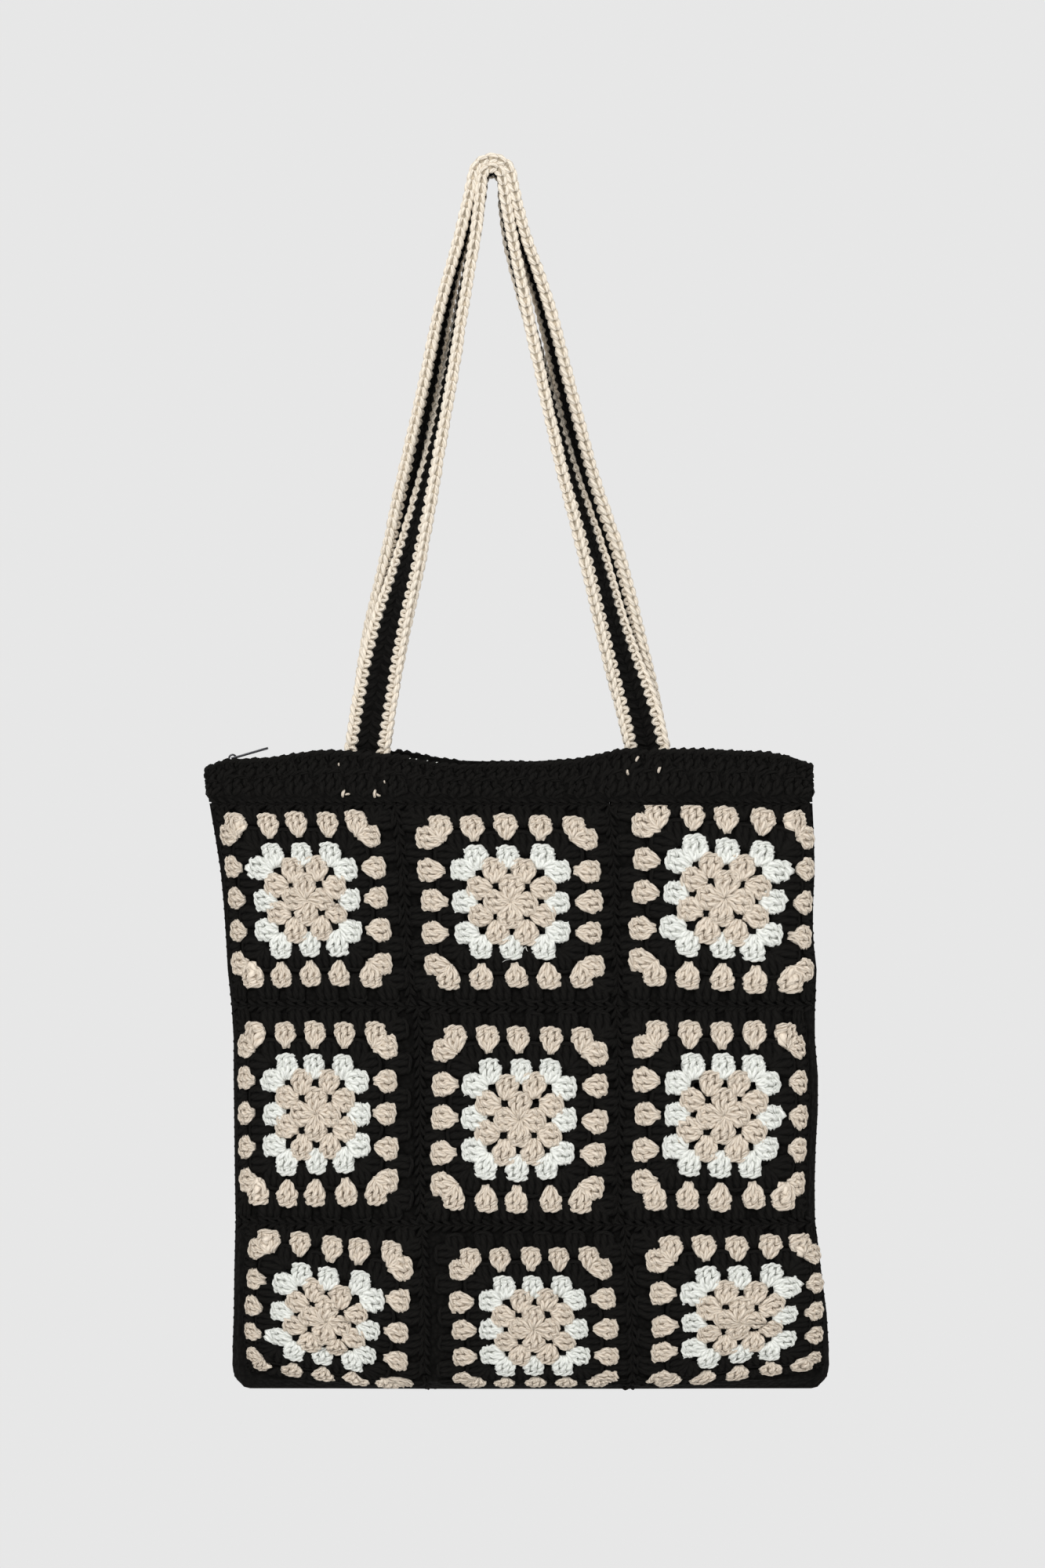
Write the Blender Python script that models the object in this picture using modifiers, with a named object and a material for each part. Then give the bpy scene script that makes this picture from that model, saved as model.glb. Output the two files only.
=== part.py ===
"""Crochet shoulder bag: granny squares, a top band with a zip, and two twisted straps.

Metres, +Z up, the front faces -Y. The origin is the hanging point, under the
middle of the front strap, where the bag hangs from a thin peg.
"""

import math

import bmesh
import bpy
import numpy as np
from mathutils import Matrix, Vector

# Driving sizes of the body
BAG_WIDTH = 0.350
BODY_HEIGHT = 0.345
BODY_DEPTH = 0.056
WALL = 0.004
FOOT_DROP = 0.014
CORNER_INSET = 0.011
SEAM_BEAD = 0.0084
FIT = 0.0004

# Driving sizes of the mouth and its band
MOUTH_DEPTH = 0.032
BAND_HEIGHT = 0.029
MOUTH_OFFSET = 0.009

# Driving sizes of the straps
STRAP_DROP = 0.3417
STRAP_WIDTH = 0.027
STRAP_THICK = 0.005
STRAP_SPREAD = 0.166
STRAP_TUCK = 0.025
STRAP_GAP = 0.0004
PEG_RADIUS = 0.0035

# Driving sizes of the zip
CHAIN_WIDTH = 0.0036
CHAIN_THICK = 0.0024
CHAIN_SINK = 0.0031
TAPE_THICK = 0.0010
SLIDER_LENGTH = 0.0080
SLIDER_WIDTH = 0.0070
SLIDER_PLATE = 0.0012
SLIDER_NECK = 0.0016
SLIDER_INSET = 0.0123
CROWN_RADIUS = 0.0021
CROWN_BAR = 0.0012
PIVOT_RISE = 0.00135
PULL_LENGTH = 0.0225
PULL_WIDTH = 0.0065
PULL_EYE_WIDTH = 0.0038
PULL_EYE_BAR = 0.0013
PULL_THICK = 0.0013
PULL_SLOT_WIDTH = 0.0020
PULL_SLOT_LENGTH = 0.0027
PULL_LIFT_DEG = 16.0

# Driving sizes of the pierced gaps between the stitches of a square
EYELET = 0.0037
EYELET_NEAR = 0.0083
EYELET_FAR = 0.0167

# How full a level section is: 2 is an ellipse, more is boxier
FULLNESS = 2.6

# Outline of the body seen from the front. fall is the share of BODY_HEIGHT below
# the band, left and right are shares of BAG_WIDTH from the middle of the mouth,
# swell is how far the depth has grown from MOUTH_DEPTH to BODY_DEPTH.
OUTLINE_COLUMNS = ("fall", "left", "right", "swell")
OUTLINE = (
    (-0.085, -0.510, 0.509, 0.00),
    (0.000, -0.502, 0.513, 0.10),
    (0.100, -0.485, 0.517, 0.26),
    (0.230, -0.474, 0.514, 0.46),
    (0.300, -0.470, 0.521, 0.56),
    (0.360, -0.463, 0.516, 0.66),
    (0.480, -0.461, 0.523, 0.82),
    (0.640, -0.459, 0.517, 0.95),
    (0.720, -0.458, 0.518, 0.98),
    (0.800, -0.460, 0.528, 1.00),
    (0.880, -0.461, 0.538, 1.00),
    (0.960, -0.464, 0.542, 0.98),
)

# Upper edge of the band. across is the share of the mouth from left to right,
# front and back are its rise as shares of BAND_HEIGHT.
RIM_COLUMNS = ("across", "front", "back")
RIM = (
    (0.00, -0.36, -0.36),
    (0.04, -0.15, -0.15),
    (0.10, -0.10, -0.10),
    (0.19, 0.04, 0.04),
    (0.27, 0.00, 0.02),
    (0.33, -0.07, 0.03),
    (0.40, -0.21, -0.11),
    (0.50, -0.23, -0.20),
    (0.64, -0.23, -0.21),
    (0.70, 0.00, 0.00),
    (0.78, 0.06, 0.05),
    (0.88, 0.02, 0.02),
    (0.96, -0.06, -0.06),
    (1.00, -0.21, -0.21),
)

# Joins between the squares. top and bottom are shares of BODY_HEIGHT seen from
# the front, first and second are the upright joins as shares of the width, and
# the turns are each square's own skew in degrees.
ROW_COLUMNS = ("top", "bottom", "first", "second", "turn_1", "turn_2", "turn_3")
ROWS = (
    (0.000, 0.343, 0.311, 0.664, 0.0, 1.0, 7.0),
    (0.343, 0.712, 0.323, 0.661, 0.0, 1.0, 1.0),
    (0.712, 1.000, 0.325, 0.672, 2.0, 0.0, 2.0),
)

# Gentle swells and hollows of the hanging cloth. across and fall place each one,
# reach is its radius as a share of BAG_WIDTH, push is a share of BODY_DEPTH.
SWELL_COLUMNS = ("across", "fall", "reach", "push")
SWELLS = (
    (0.27, 0.05, 0.22, 0.045),
    (0.76, 0.05, 0.22, 0.045),
    (0.52, 0.10, 0.24, -0.060),
    (0.17, 0.30, 0.20, -0.035),
    (0.84, 0.52, 0.22, 0.040),
    (0.45, 0.78, 0.30, 0.035),
    (0.12, 0.74, 0.18, -0.030),
)

# Route of each strap leg from the rim up to the peg. climb is the share of
# STRAP_DROP above the rim, spread is the distance from the peg as a share of
# the leg's distance at the rim, turn is in degrees, and away is the distance in
# front of or behind the peg as a share of its distance at the rim.
LEG_COLUMNS = ("climb", "spread", "turn", "away")
LEGS = {
    "front_left": (
        (0.00, 1.000, 0.0, 1.00),
        (0.10, 0.925, 4.0, 1.02),
        (0.19, 0.846, 22.0, 1.06),
        (0.31, 0.690, 46.0, 1.02),
        (0.49, 0.490, 70.0, 0.75),
        (0.64, 0.350, 78.0, 0.50),
        (0.79, 0.226, 84.0, 0.28),
        (0.90, 0.130, 88.0, 0.10),
    ),
    "front_right": (
        (0.00, 1.000, 0.0, 1.00),
        (0.07, 0.940, 12.0, 1.02),
        (0.16, 0.828, 38.0, 1.06),
        (0.35, 0.636, 58.0, 0.98),
        (0.46, 0.510, 68.0, 0.80),
        (0.62, 0.352, 80.0, 0.50),
        (0.79, 0.196, 92.0, 0.25),
        (0.90, 0.105, 96.0, 0.10),
    ),
    "back_left": (
        (0.00, 1.000, 0.0, 1.00),
        (0.10, 0.935, 4.0, 1.06),
        (0.19, 0.880, 20.0, 1.16),
        (0.31, 0.772, 42.0, 1.22),
        (0.49, 0.640, 66.0, 0.92),
        (0.64, 0.500, 74.0, 0.60),
        (0.79, 0.365, 80.0, 0.33),
        (0.90, 0.235, 86.0, 0.12),
    ),
    "back_right": (
        (0.00, 1.000, 0.0, 1.00),
        (0.07, 0.955, 10.0, 1.06),
        (0.16, 0.892, 34.0, 1.22),
        (0.35, 0.744, 56.0, 1.18),
        (0.46, 0.622, 66.0, 0.95),
        (0.62, 0.474, 72.0, 0.58),
        (0.79, 0.320, 78.0, 0.30),
        (0.90, 0.190, 84.0, 0.12),
    ),
}

# How finely the faceted pieces are divided. The cells of a square crowd towards
# the sides and the bottom edge, where the surface turns.
SQUARE_CELLS = 6
EDGE_CROWDING = 1.6
BAND_CELLS = 26
BAND_ROWS = 3
SEAM_POINTS_SIDE = 16
SEAM_POINTS_CORNER = 4
SEAM_POINTS_BOTTOM = 16
LEG_STEPS = 20
BEND_STEPS = 8
ZIP_CELLS = 30
FINE_STEPS = 240

# Colours, linear: red, green, blue
BLACK_YARN = (0.0045, 0.0042, 0.0040)
CREAM_YARN = (0.70, 0.55, 0.43)
GUNMETAL = (0.11, 0.11, 0.12)


def column(table, names, name):
    """One named column of a table, as an array."""
    place = names.index(name)
    return np.array([row[place] for row in table])


def smooth(at, places, values):
    """A smooth curve through a table's values, level with its neighbours' slope."""
    slopes = np.gradient(values, places)
    last = len(places) - 2
    cell = int(np.clip(np.searchsorted(places, at, side="right") - 1, 0, last))
    span = places[cell + 1] - places[cell]
    t = min(max((at - places[cell]) / span, 0.0), 1.0)
    start = (2 * t**3 - 3 * t**2 + 1) * values[cell] + (t**3 - 2 * t**2 + t) * span * slopes[cell]
    end = (-2 * t**3 + 3 * t**2) * values[cell + 1] + (t**3 - t**2) * span * slopes[cell + 1]
    return float(start + end)


def outline(name, fall):
    """A column of the outline table at a fall below the band."""
    return smooth(fall, column(OUTLINE, OUTLINE_COLUMNS, "fall"), column(OUTLINE, OUTLINE_COLUMNS, name))


SEAM_SPACE = SEAM_BEAD / 2 + FIT
BAND_FOOT = -STRAP_DROP - BAND_HEIGHT
FOOT_START = 1 - FOOT_DROP / BODY_HEIGHT
FOOT_DEPTH = BODY_DEPTH / 2 - SEAM_SPACE
FOOT_ROOT = math.sqrt((3 * FOOT_DROP + FOOT_DEPTH) * (FOOT_DROP + 3 * FOOT_DEPTH))
FOOT_ARC = math.pi / 4 * (3 * (FOOT_DROP + FOOT_DEPTH) - FOOT_ROOT)


def profile(fall):
    """Height, sideways limits and half depth at a fall.

    Above FOOT_START the fall is a share of BODY_HEIGHT. From there to 1 it
    turns under the bag along a quarter of an ellipse.
    """
    turn = max(fall - FOOT_START, 0.0) / (1 - FOOT_START) * math.pi / 2
    level = min(fall, FOOT_START)
    inset = CORNER_INSET * (1 - math.cos(turn))
    height = BAND_FOOT - level * BODY_HEIGHT - FOOT_DROP * math.sin(turn)
    left = MOUTH_OFFSET + outline("left", level) * BAG_WIDTH + inset
    right = MOUTH_OFFSET + outline("right", level) * BAG_WIDTH - inset
    full = (MOUTH_DEPTH + (BODY_DEPTH - MOUTH_DEPTH) * outline("swell", level)) / 2
    half = SEAM_SPACE + (full - SEAM_SPACE) * math.cos(turn)
    return height, left, right, half


def swell(across, fall):
    """Push of the gentle swells and hollows, as a share of BODY_DEPTH."""
    total = 0.0
    for row in SWELLS:
        form = dict(zip(SWELL_COLUMNS, row))
        down = (fall - form["fall"]) * BODY_HEIGHT / BAG_WIDTH
        away = math.hypot(across - form["across"], down) / form["reach"]
        total += form["push"] * math.exp(-2 * away * away)
    return total


def skin(across, fall, side):
    """A point of the outer surface. side is -1 for the front and 1 for the back."""
    height, left, right, half = profile(fall)
    crown = math.sqrt(max(1 - abs(2 * across - 1) ** FULLNESS, 0.0))
    closing = (half - SEAM_SPACE) / (BODY_DEPTH / 2)
    depth = SEAM_SPACE + (half - SEAM_SPACE) * crown + swell(across, fall) * BODY_DEPTH * crown * closing
    return Vector((left + (right - left) * across, side * depth, height))


def even_shares(start, end, cells, fall):
    """Shares across between two limits, evenly spaced along the curved surface."""
    fine = np.linspace(start, end, FINE_STEPS)
    points = [skin(share, fall, -1) for share in fine]
    steps = [0.0] + [(b - a).length for a, b in zip(points, points[1:])]
    lengths = np.cumsum(steps)
    return np.interp(np.linspace(0, lengths[-1], cells + 1), lengths, fine)


def profile_share(length):
    """The fall at a length measured down the surface, under the bottom edge too."""
    straight = BODY_HEIGHT - FOOT_DROP
    if length <= straight:
        return length / BODY_HEIGHT
    return FOOT_START + (length - straight) / FOOT_ARC * (1 - FOOT_START)


def surface_length(fall):
    """The length down the surface at a fall."""
    if fall <= FOOT_START:
        return fall * BODY_HEIGHT
    return BODY_HEIGHT - FOOT_DROP + (fall - FOOT_START) / (1 - FOOT_START) * FOOT_ARC


def rim_height(across, name):
    """Height of the band's upper edge, front or back."""
    rise = smooth(across, column(RIM, RIM_COLUMNS, "across"), column(RIM, RIM_COLUMNS, name))
    return -STRAP_DROP + rise * BAND_HEIGHT


def mouth_share(x):
    """Share across the mouth at a sideways place."""
    _, left, right, _ = profile(-BAND_HEIGHT / BODY_HEIGHT)
    return (x - left) / (right - left)


def mouth_inner(x):
    """Half depth inside the mouth's wall at a sideways place."""
    fall = -BAND_HEIGHT / BODY_HEIGHT
    share = mouth_share(x)
    step = 1 / FINE_STEPS
    before = skin(max(share - step, 0.0), fall, 1)
    after = skin(min(share + step, 1.0), fall, 1)
    slant = (after - before).normalized()
    return skin(share, fall, 1).y - WALL / abs(slant.x)


def material(name, colour, roughness, metallic):
    """A plain material with a colour, roughness and metallic value."""
    made = bpy.data.materials.new(name)
    made.use_nodes = True
    shader = made.node_tree.nodes["Principled BSDF"]
    shader.inputs["Base Color"].default_value = (*colour, 1.0)
    shader.inputs["Roughness"].default_value = roughness
    shader.inputs["Metallic"].default_value = metallic
    made.diffuse_color = (*colour, 1.0)
    return made


def add_object(name, mesh, finish, home):
    """An object for a mesh, with its material, in a collection."""
    made = bpy.data.objects.new(name, mesh)
    mesh.materials.append(finish)
    home.objects.link(made)
    return made


def grid_mesh(name, cells_x, cells_y, place):
    """A grid whose corners are moved to place(share_x, share_y)."""
    form = bmesh.new()
    bmesh.ops.create_grid(form, x_segments=cells_x, y_segments=cells_y, size=0.5)
    for corner in form.verts:
        corner.co = place(corner.co.x + 0.5, corner.co.y + 0.5)
    bmesh.ops.remove_doubles(form, verts=form.verts, dist=0.00005)
    mesh = bpy.data.meshes.new(name)
    form.to_mesh(mesh)
    form.free()
    mesh.shade_smooth()
    return mesh


def thicken(piece, thickness, offset):
    """Give an open surface its thickness."""
    shell = piece.modifiers.new("Wall", "SOLIDIFY")
    shell.thickness = thickness
    shell.offset = offset
    shell.use_even_offset = True


def square_frame(row, col, side):
    """Function from shares of one square to its surface point, and its size."""
    sizes = dict(zip(ROW_COLUMNS, ROWS[row]))
    joins = (0.0, sizes["first"], sizes["second"], 1.0)
    start_length = surface_length(sizes["top"])
    span = surface_length(sizes["bottom"]) - start_length
    middle = profile_share(start_length + span / 2)
    low = FIT / span
    trim = FIT / BAG_WIDTH
    start = joins[col] + (trim if col > 0 else 0.0)
    end = joins[col + 1] - (trim if col < 2 else 0.0)
    steps = np.linspace(0, 1, FINE_STEPS)
    shares = even_shares(start, end, FINE_STEPS - 1, middle)

    def place(share_x, share_y):
        along = share_x if side < 0 else 1 - share_x
        across = float(np.interp(along, steps, shares))
        drop = start_length + span * (low + (1 - share_y) * (1 - 2 * low))
        return skin(across, profile_share(drop), side)

    width = (place(1.0, 0.5) - place(0.0, 0.5)).length
    return place, width, span


def crowded(share, low, high):
    """A share moved so that cells crowd towards a turning edge at 0 or at 1."""
    if low:
        return share**EDGE_CROWDING
    if high:
        return 1 - (1 - share) ** EDGE_CROWDING
    return share


def seam_slab(home):
    """The flat space between the front and the back that the join's bead fills."""
    size = Vector((BAG_WIDTH * 1.5, 2 * (SEAM_SPACE - FIT / 4), BODY_HEIGHT * 1.5))
    centre = Vector((MOUTH_OFFSET, 0.0, BAND_FOOT - BODY_HEIGHT / 2))
    slab = bpy.data.objects.new("seam_space", box_mesh("seam_space", size, centre))
    slab.hide_render = True
    slab.display_type = "WIRE"
    home.objects.link(slab)
    return slab


def eyelet_cutter(name, row, col, home):
    """Twelve short rods through a square, where its rounds of stitches leave gaps."""
    place, width, height = square_frame(row, col, -1)
    turn = -math.radians(dict(zip(ROW_COLUMNS, ROWS[row]))[f"turn_{col + 1}"])
    ring = [(sx * EYELET_NEAR, sy * EYELET_NEAR) for sx in (-1, 1) for sy in (-1, 1)]
    ring += [(sx * EYELET_FAR, sy * EYELET_FAR) for sx in (-1, 0, 1) for sy in (-1, 0, 1) if sx or sy]
    form = bmesh.new()
    for right, up in ring:
        x = right * math.cos(turn) - up * math.sin(turn)
        y = right * math.sin(turn) + up * math.cos(turn)
        share_x = 0.5 + x / width
        share_y = 0.5 + y / height
        spot = place(share_x, share_y)
        along = place(share_x + 0.02, share_y) - spot
        rise = place(share_x, share_y + 0.02) - spot
        out = along.cross(rise).normalized()
        stand = Matrix.Translation(spot - out * WALL / 2) @ out.to_track_quat("Z", "Y").to_matrix().to_4x4()
        bmesh.ops.create_cone(
            form, cap_ends=True, segments=6, radius1=EYELET / 2, radius2=EYELET / 2, depth=WALL * 3, matrix=stand
        )
    mesh = bpy.data.meshes.new(name)
    form.to_mesh(mesh)
    form.free()
    cutter = bpy.data.objects.new(name, mesh)
    cutter.hide_render = True
    cutter.display_type = "WIRE"
    home.objects.link(cutter)
    return cutter


def make_square(row, col, side, finish, parts, cutters, slab):
    """One granny square, a curved wall. The front ones are pierced."""
    face = "front" if side < 0 else "back"
    name = f"{face}_square_r{row + 1}_c{col + 1}"
    place, _, _ = square_frame(row, col, side)
    edge_low = col == (0 if side < 0 else 2)
    edge_high = col == (2 if side < 0 else 0)

    def crowd(share_x, share_y):
        return place(crowded(share_x, edge_low, edge_high), crowded(share_y, row == len(ROWS) - 1, False))

    piece = add_object(name, grid_mesh(name, SQUARE_CELLS, SQUARE_CELLS, crowd), finish, parts)
    thicken(piece, WALL, -1.0)
    trim = piece.modifiers.new("Join", "BOOLEAN")
    trim.operation = "DIFFERENCE"
    trim.object = slab
    if side < 0:
        cut = piece.modifiers.new("Gaps", "BOOLEAN")
        cut.operation = "DIFFERENCE"
        cut.object = eyelet_cutter(f"gaps_r{row + 1}_c{col + 1}", row, col, cutters)
    return piece


def make_band(finish, parts):
    """The top band: one ring round the mouth, open above and below."""
    shares = even_shares(0.0, 1.0, BAND_CELLS, 0.0)
    ring = [(share, -1) for share in shares] + [(share, 1) for share in shares[::-1]] + [(shares[0], -1)]
    foot = FIT / BODY_HEIGHT

    def place(share_x, share_y):
        across, side = ring[int(round(share_x * (len(ring) - 1)))]
        top = rim_height(across, "front" if side < 0 else "back")
        rise = (top - BAND_FOOT) / BODY_HEIGHT
        return skin(across, -foot - (rise - foot) * share_y, side)

    mesh = grid_mesh("top_band", len(ring) - 1, BAND_ROWS, place)
    band = add_object("top_band", mesh, finish, parts)
    thicken(band, WALL, -1.0)
    return band


def seam_route():
    """Middle line of the join down the left side, along the bottom and up the right."""
    radius = SEAM_BEAD / 2
    start = 2 * FIT / BODY_HEIGHT
    falls = list(np.linspace(start, FOOT_START, SEAM_POINTS_SIDE))
    falls += list(np.linspace(FOOT_START, 1.0, SEAM_POINTS_CORNER + 1)[1:-1])
    shares = np.linspace(0.0, 1.0, SEAM_POINTS_BOTTOM)

    def edge(fall, share):
        spot = skin(share, fall, -1)
        turn = max(fall - FOOT_START, 0.0) / (1 - FOOT_START) * math.pi / 2
        inward = radius * math.cos(turn) * (1 if share < 0.5 else -1)
        return Vector((spot.x + inward, 0.0, spot.z + radius * math.sin(turn)))

    down = [edge(fall, 0.0) for fall in falls]
    along = [Vector((skin(share, 1.0, -1).x, 0.0, skin(share, 1.0, -1).z + radius)) for share in shares]
    up = [edge(fall, 1.0) for fall in falls[::-1]]
    return down + along + up


def make_seam(finish, parts):
    """The raised join of the front and back, a bead along sides and bottom."""
    route = seam_route()
    curve = bpy.data.curves.new("edge_seam", "CURVE")
    curve.dimensions = "3D"
    curve.bevel_depth = SEAM_BEAD / 2
    curve.bevel_resolution = 2
    curve.use_fill_caps = True
    spline = curve.splines.new("POLY")
    spline.points.add(len(route) - 1)
    for point, spot in zip(spline.points, route):
        point.co = (*spot, 1.0)
    curve.materials.append(finish)
    seam = bpy.data.objects.new("edge_seam", curve)
    parts.objects.link(seam)
    return seam


def leg_anchor(side_x):
    """Sideways place of a strap leg at the rim, and its distance from mid mouth."""
    x = MOUTH_OFFSET + side_x * STRAP_SPREAD / 2
    outer = x + side_x * STRAP_WIDTH / 2
    depth = mouth_inner(outer) - FIT - STRAP_THICK / 2
    return x, depth


def leg_station(strap, side_x, climb):
    """Middle of a strap leg and its width direction, at a climb above the rim."""
    table = LEGS[f"{strap}_{'left' if side_x < 0 else 'right'}"]
    foot_x, foot_depth = leg_anchor(side_x)
    side_y = -1 if strap == "front" else 1
    bend = PEG_RADIUS + STRAP_THICK / 2
    if strap == "back":
        bend += STRAP_THICK + STRAP_GAP
    top = 1 - PEG_RADIUS / STRAP_DROP
    climbs = np.append(column(table, LEG_COLUMNS, "climb"), top)
    spreads = np.append(column(table, LEG_COLUMNS, "spread") * abs(foot_x), bend)
    spreads[:-1] = np.maximum(spreads[:-1], bend)
    turns = np.append(column(table, LEG_COLUMNS, "turn"), 90.0)
    aways = np.append(column(table, LEG_COLUMNS, "away") * foot_depth, 0.0)
    x = side_x * smooth(climb, climbs, spreads)
    turn = math.radians(smooth(climb, climbs, turns))
    middle = Vector((x, side_y * smooth(climb, climbs, aways), -STRAP_DROP * (1 - climb)))
    inward = Vector((-side_x * math.cos(turn), side_y * math.sin(turn), 0.0))
    return middle, inward


def strap_route(strap):
    """Stations along a strap: its middle and the way from its outer to inner edge."""
    side_y = -1 if strap == "front" else 1
    top = 1 - PEG_RADIUS / STRAP_DROP
    bend = PEG_RADIUS + STRAP_THICK / 2
    if strap == "back":
        bend += STRAP_THICK + STRAP_GAP
    tucked = -STRAP_TUCK / STRAP_DROP
    climbs = [tucked, tucked / 2] + list(np.linspace(0.0, top, LEG_STEPS))[:-1]
    route = []
    for side_x, order in ((-1, climbs), (1, climbs[::-1])):
        leg = []
        for climb in order:
            middle, inward = leg_station(strap, side_x, max(climb, 0.0))
            middle.z = -STRAP_DROP * (1 - climb)
            leg.append((middle, inward))
        if side_x > 0:
            for step in range(BEND_STEPS + 1):
                angle = math.pi * (1 - step / BEND_STEPS)
                centre = Vector((bend * math.cos(angle), 0.0, bend * math.sin(angle) - PEG_RADIUS))
                route.append((centre, Vector((0.0, side_y, 0.0))))
        route += leg
    return route


def make_strap(strap, finish, parts):
    """A shoulder strap: a thick band that twists a quarter turn up each leg."""
    route = strap_route(strap)
    name = f"{strap}_strap"
    turned = -1 if strap == "front" else 1

    def place(share_x, share_y):
        middle, inward = route[int(round(share_y * (len(route) - 1)))]
        return middle + inward * (share_x - 0.5) * STRAP_WIDTH * turned

    piece = add_object(name, grid_mesh(name, 2, len(route) - 1, place), finish, parts)
    thicken(piece, STRAP_THICK, 0.0)
    return piece


def chain_height(x):
    """Height of the zip's middle, under the lower of the two rims."""
    share = mouth_share(x)
    return min(rim_height(share, "front"), rim_height(share, "back")) - CHAIN_SINK


def slider_place():
    """Middle of the slider, at the left end of the closed zip."""
    _, left, _, _ = profile(-BAND_HEIGHT / BODY_HEIGHT)
    x = left + SLIDER_INSET + SLIDER_LENGTH / 2
    return Vector((x, 0.0, chain_height(x)))


def zip_reach():
    """Sideways places where the closed chain starts and ends."""
    _, _, right, _ = profile(-BAND_HEIGHT / BODY_HEIGHT)
    start = slider_place().x + SLIDER_LENGTH / 2 + FIT
    return start, right - SLIDER_INSET


def tape_edge(x):
    """Outer half width of the zip's tape: the wall, or the strap sewn before it."""
    edge = mouth_inner(x) - FIT
    for side_x in (-1, 1):
        middle, depth = leg_anchor(side_x)
        if abs(x - middle) < STRAP_WIDTH / 2 + 2 * FIT:
            edge = min(edge, depth - STRAP_THICK / 2 - FIT)
    return edge


def tape_stations():
    """Sideways places along the tape, with a close pair at each strap edge."""
    start, end = zip_reach()
    places = list(np.linspace(start, end, ZIP_CELLS + 1))
    for side_x in (-1, 1):
        middle, _ = leg_anchor(side_x)
        for edge in (-1, 1):
            near = middle + edge * (STRAP_WIDTH / 2 + 2 * FIT)
            places += [near - FIT, near + FIT]
    return sorted(places)


def make_tape(side, finish, parts):
    """One half of the zip's woven tape, from the chain out to the wall."""
    name = "zip_tape_front" if side < 0 else "zip_tape_back"
    places = tape_stations()
    inner = CHAIN_WIDTH / 2 + FIT

    def place(share_x, share_y):
        x = places[int(round(share_x * (len(places) - 1)))]
        width = inner + (tape_edge(x) - inner) * (1 - share_y if side < 0 else share_y)
        return Vector((x, side * width, chain_height(x)))

    piece = add_object(name, grid_mesh(name, len(places) - 1, 1, place), finish, parts)
    thicken(piece, TAPE_THICK, 0.0)
    return piece


def make_chain(finish, parts):
    """The closed row of zip teeth, one bar that follows the rim."""
    start, end = zip_reach()
    start -= SLIDER_LENGTH / 2

    def place(share_x, share_y):
        x = start + (end - start) * share_x
        return Vector((x, (share_y - 0.5) * CHAIN_WIDTH, chain_height(x)))

    piece = add_object("zip_chain", grid_mesh("zip_chain", ZIP_CELLS, 1, place), finish, parts)
    thicken(piece, CHAIN_THICK, 0.0)
    return piece


def box_mesh(name, size, centre):
    """A box of a size about a centre."""
    form = bmesh.new()
    bmesh.ops.create_cube(form, size=1.0)
    bmesh.ops.scale(form, vec=size, verts=form.verts)
    bmesh.ops.translate(form, vec=centre, verts=form.verts)
    mesh = bpy.data.meshes.new(name)
    form.to_mesh(mesh)
    form.free()
    return mesh


def join_tool(piece, name, mesh, home):
    """Join a hidden helper shape to a piece with a Boolean union."""
    tool = bpy.data.objects.new(name, mesh)
    tool.location = piece.location
    tool.hide_render = True
    tool.display_type = "WIRE"
    home.objects.link(tool)
    union = piece.modifiers.new(name, "BOOLEAN")
    union.operation = "UNION"
    union.object = tool


def crown_mesh(pivot_height):
    """The slider's crown: a bent bar over the pull's pivot, standing on the plate."""
    foot = pivot_height - PIVOT_RISE - SLIDER_PLATE / 2
    arc = [math.pi * step / 8 for step in range(9)]
    route = [Vector((CROWN_RADIUS, 0.0, foot))]
    route += [Vector((CROWN_RADIUS * math.cos(a), 0.0, pivot_height + CROWN_RADIUS * math.sin(a))) for a in arc]
    route.append(Vector((-CROWN_RADIUS, 0.0, foot)))
    curve = bpy.data.curves.new("crown_bar", "CURVE")
    curve.dimensions = "3D"
    curve.bevel_depth = CROWN_BAR / 2
    curve.bevel_resolution = 2
    curve.use_fill_caps = True
    spline = curve.splines.new("POLY")
    spline.points.add(len(route) - 1)
    for point, spot in zip(spline.points, route):
        point.co = (*spot, 1.0)
    bar = bpy.data.objects.new("crown_bar", curve)
    bpy.context.scene.collection.objects.link(bar)
    bpy.context.view_layer.update()
    mesh = bpy.data.meshes.new_from_object(bar.evaluated_get(bpy.context.evaluated_depsgraph_get()))
    bpy.data.objects.remove(bar)
    form = bmesh.new()
    form.from_mesh(mesh)
    bmesh.ops.remove_doubles(form, verts=form.verts, dist=0.00001)
    form.to_mesh(mesh)
    form.free()
    return mesh


def pivot_height():
    """Height of the pull's pivot above the slider's middle."""
    return CHAIN_THICK / 2 + FIT + SLIDER_PLATE + PIVOT_RISE


def make_slider(finish, parts, cutters):
    """The zip slider: two plates joined by a neck, with a crown for the pull."""
    level = CHAIN_THICK / 2 + FIT + SLIDER_PLATE / 2
    plate = Vector((SLIDER_LENGTH, SLIDER_WIDTH, SLIDER_PLATE))
    piece = add_object("zip_slider", box_mesh("zip_slider", plate, Vector((0, 0, level))), finish, parts)
    piece.location = slider_place()
    join_tool(piece, "lower_plate", box_mesh("lower_plate", plate, Vector((0, 0, -level))), cutters)
    neck = Vector((SLIDER_NECK, SLIDER_NECK, 2 * level))
    neck_place = Vector((SLIDER_NECK - SLIDER_LENGTH / 2, 0, 0))
    join_tool(piece, "slider_neck", box_mesh("slider_neck", neck, neck_place), cutters)
    join_tool(piece, "slider_crown", crown_mesh(pivot_height()), cutters)
    return piece


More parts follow.
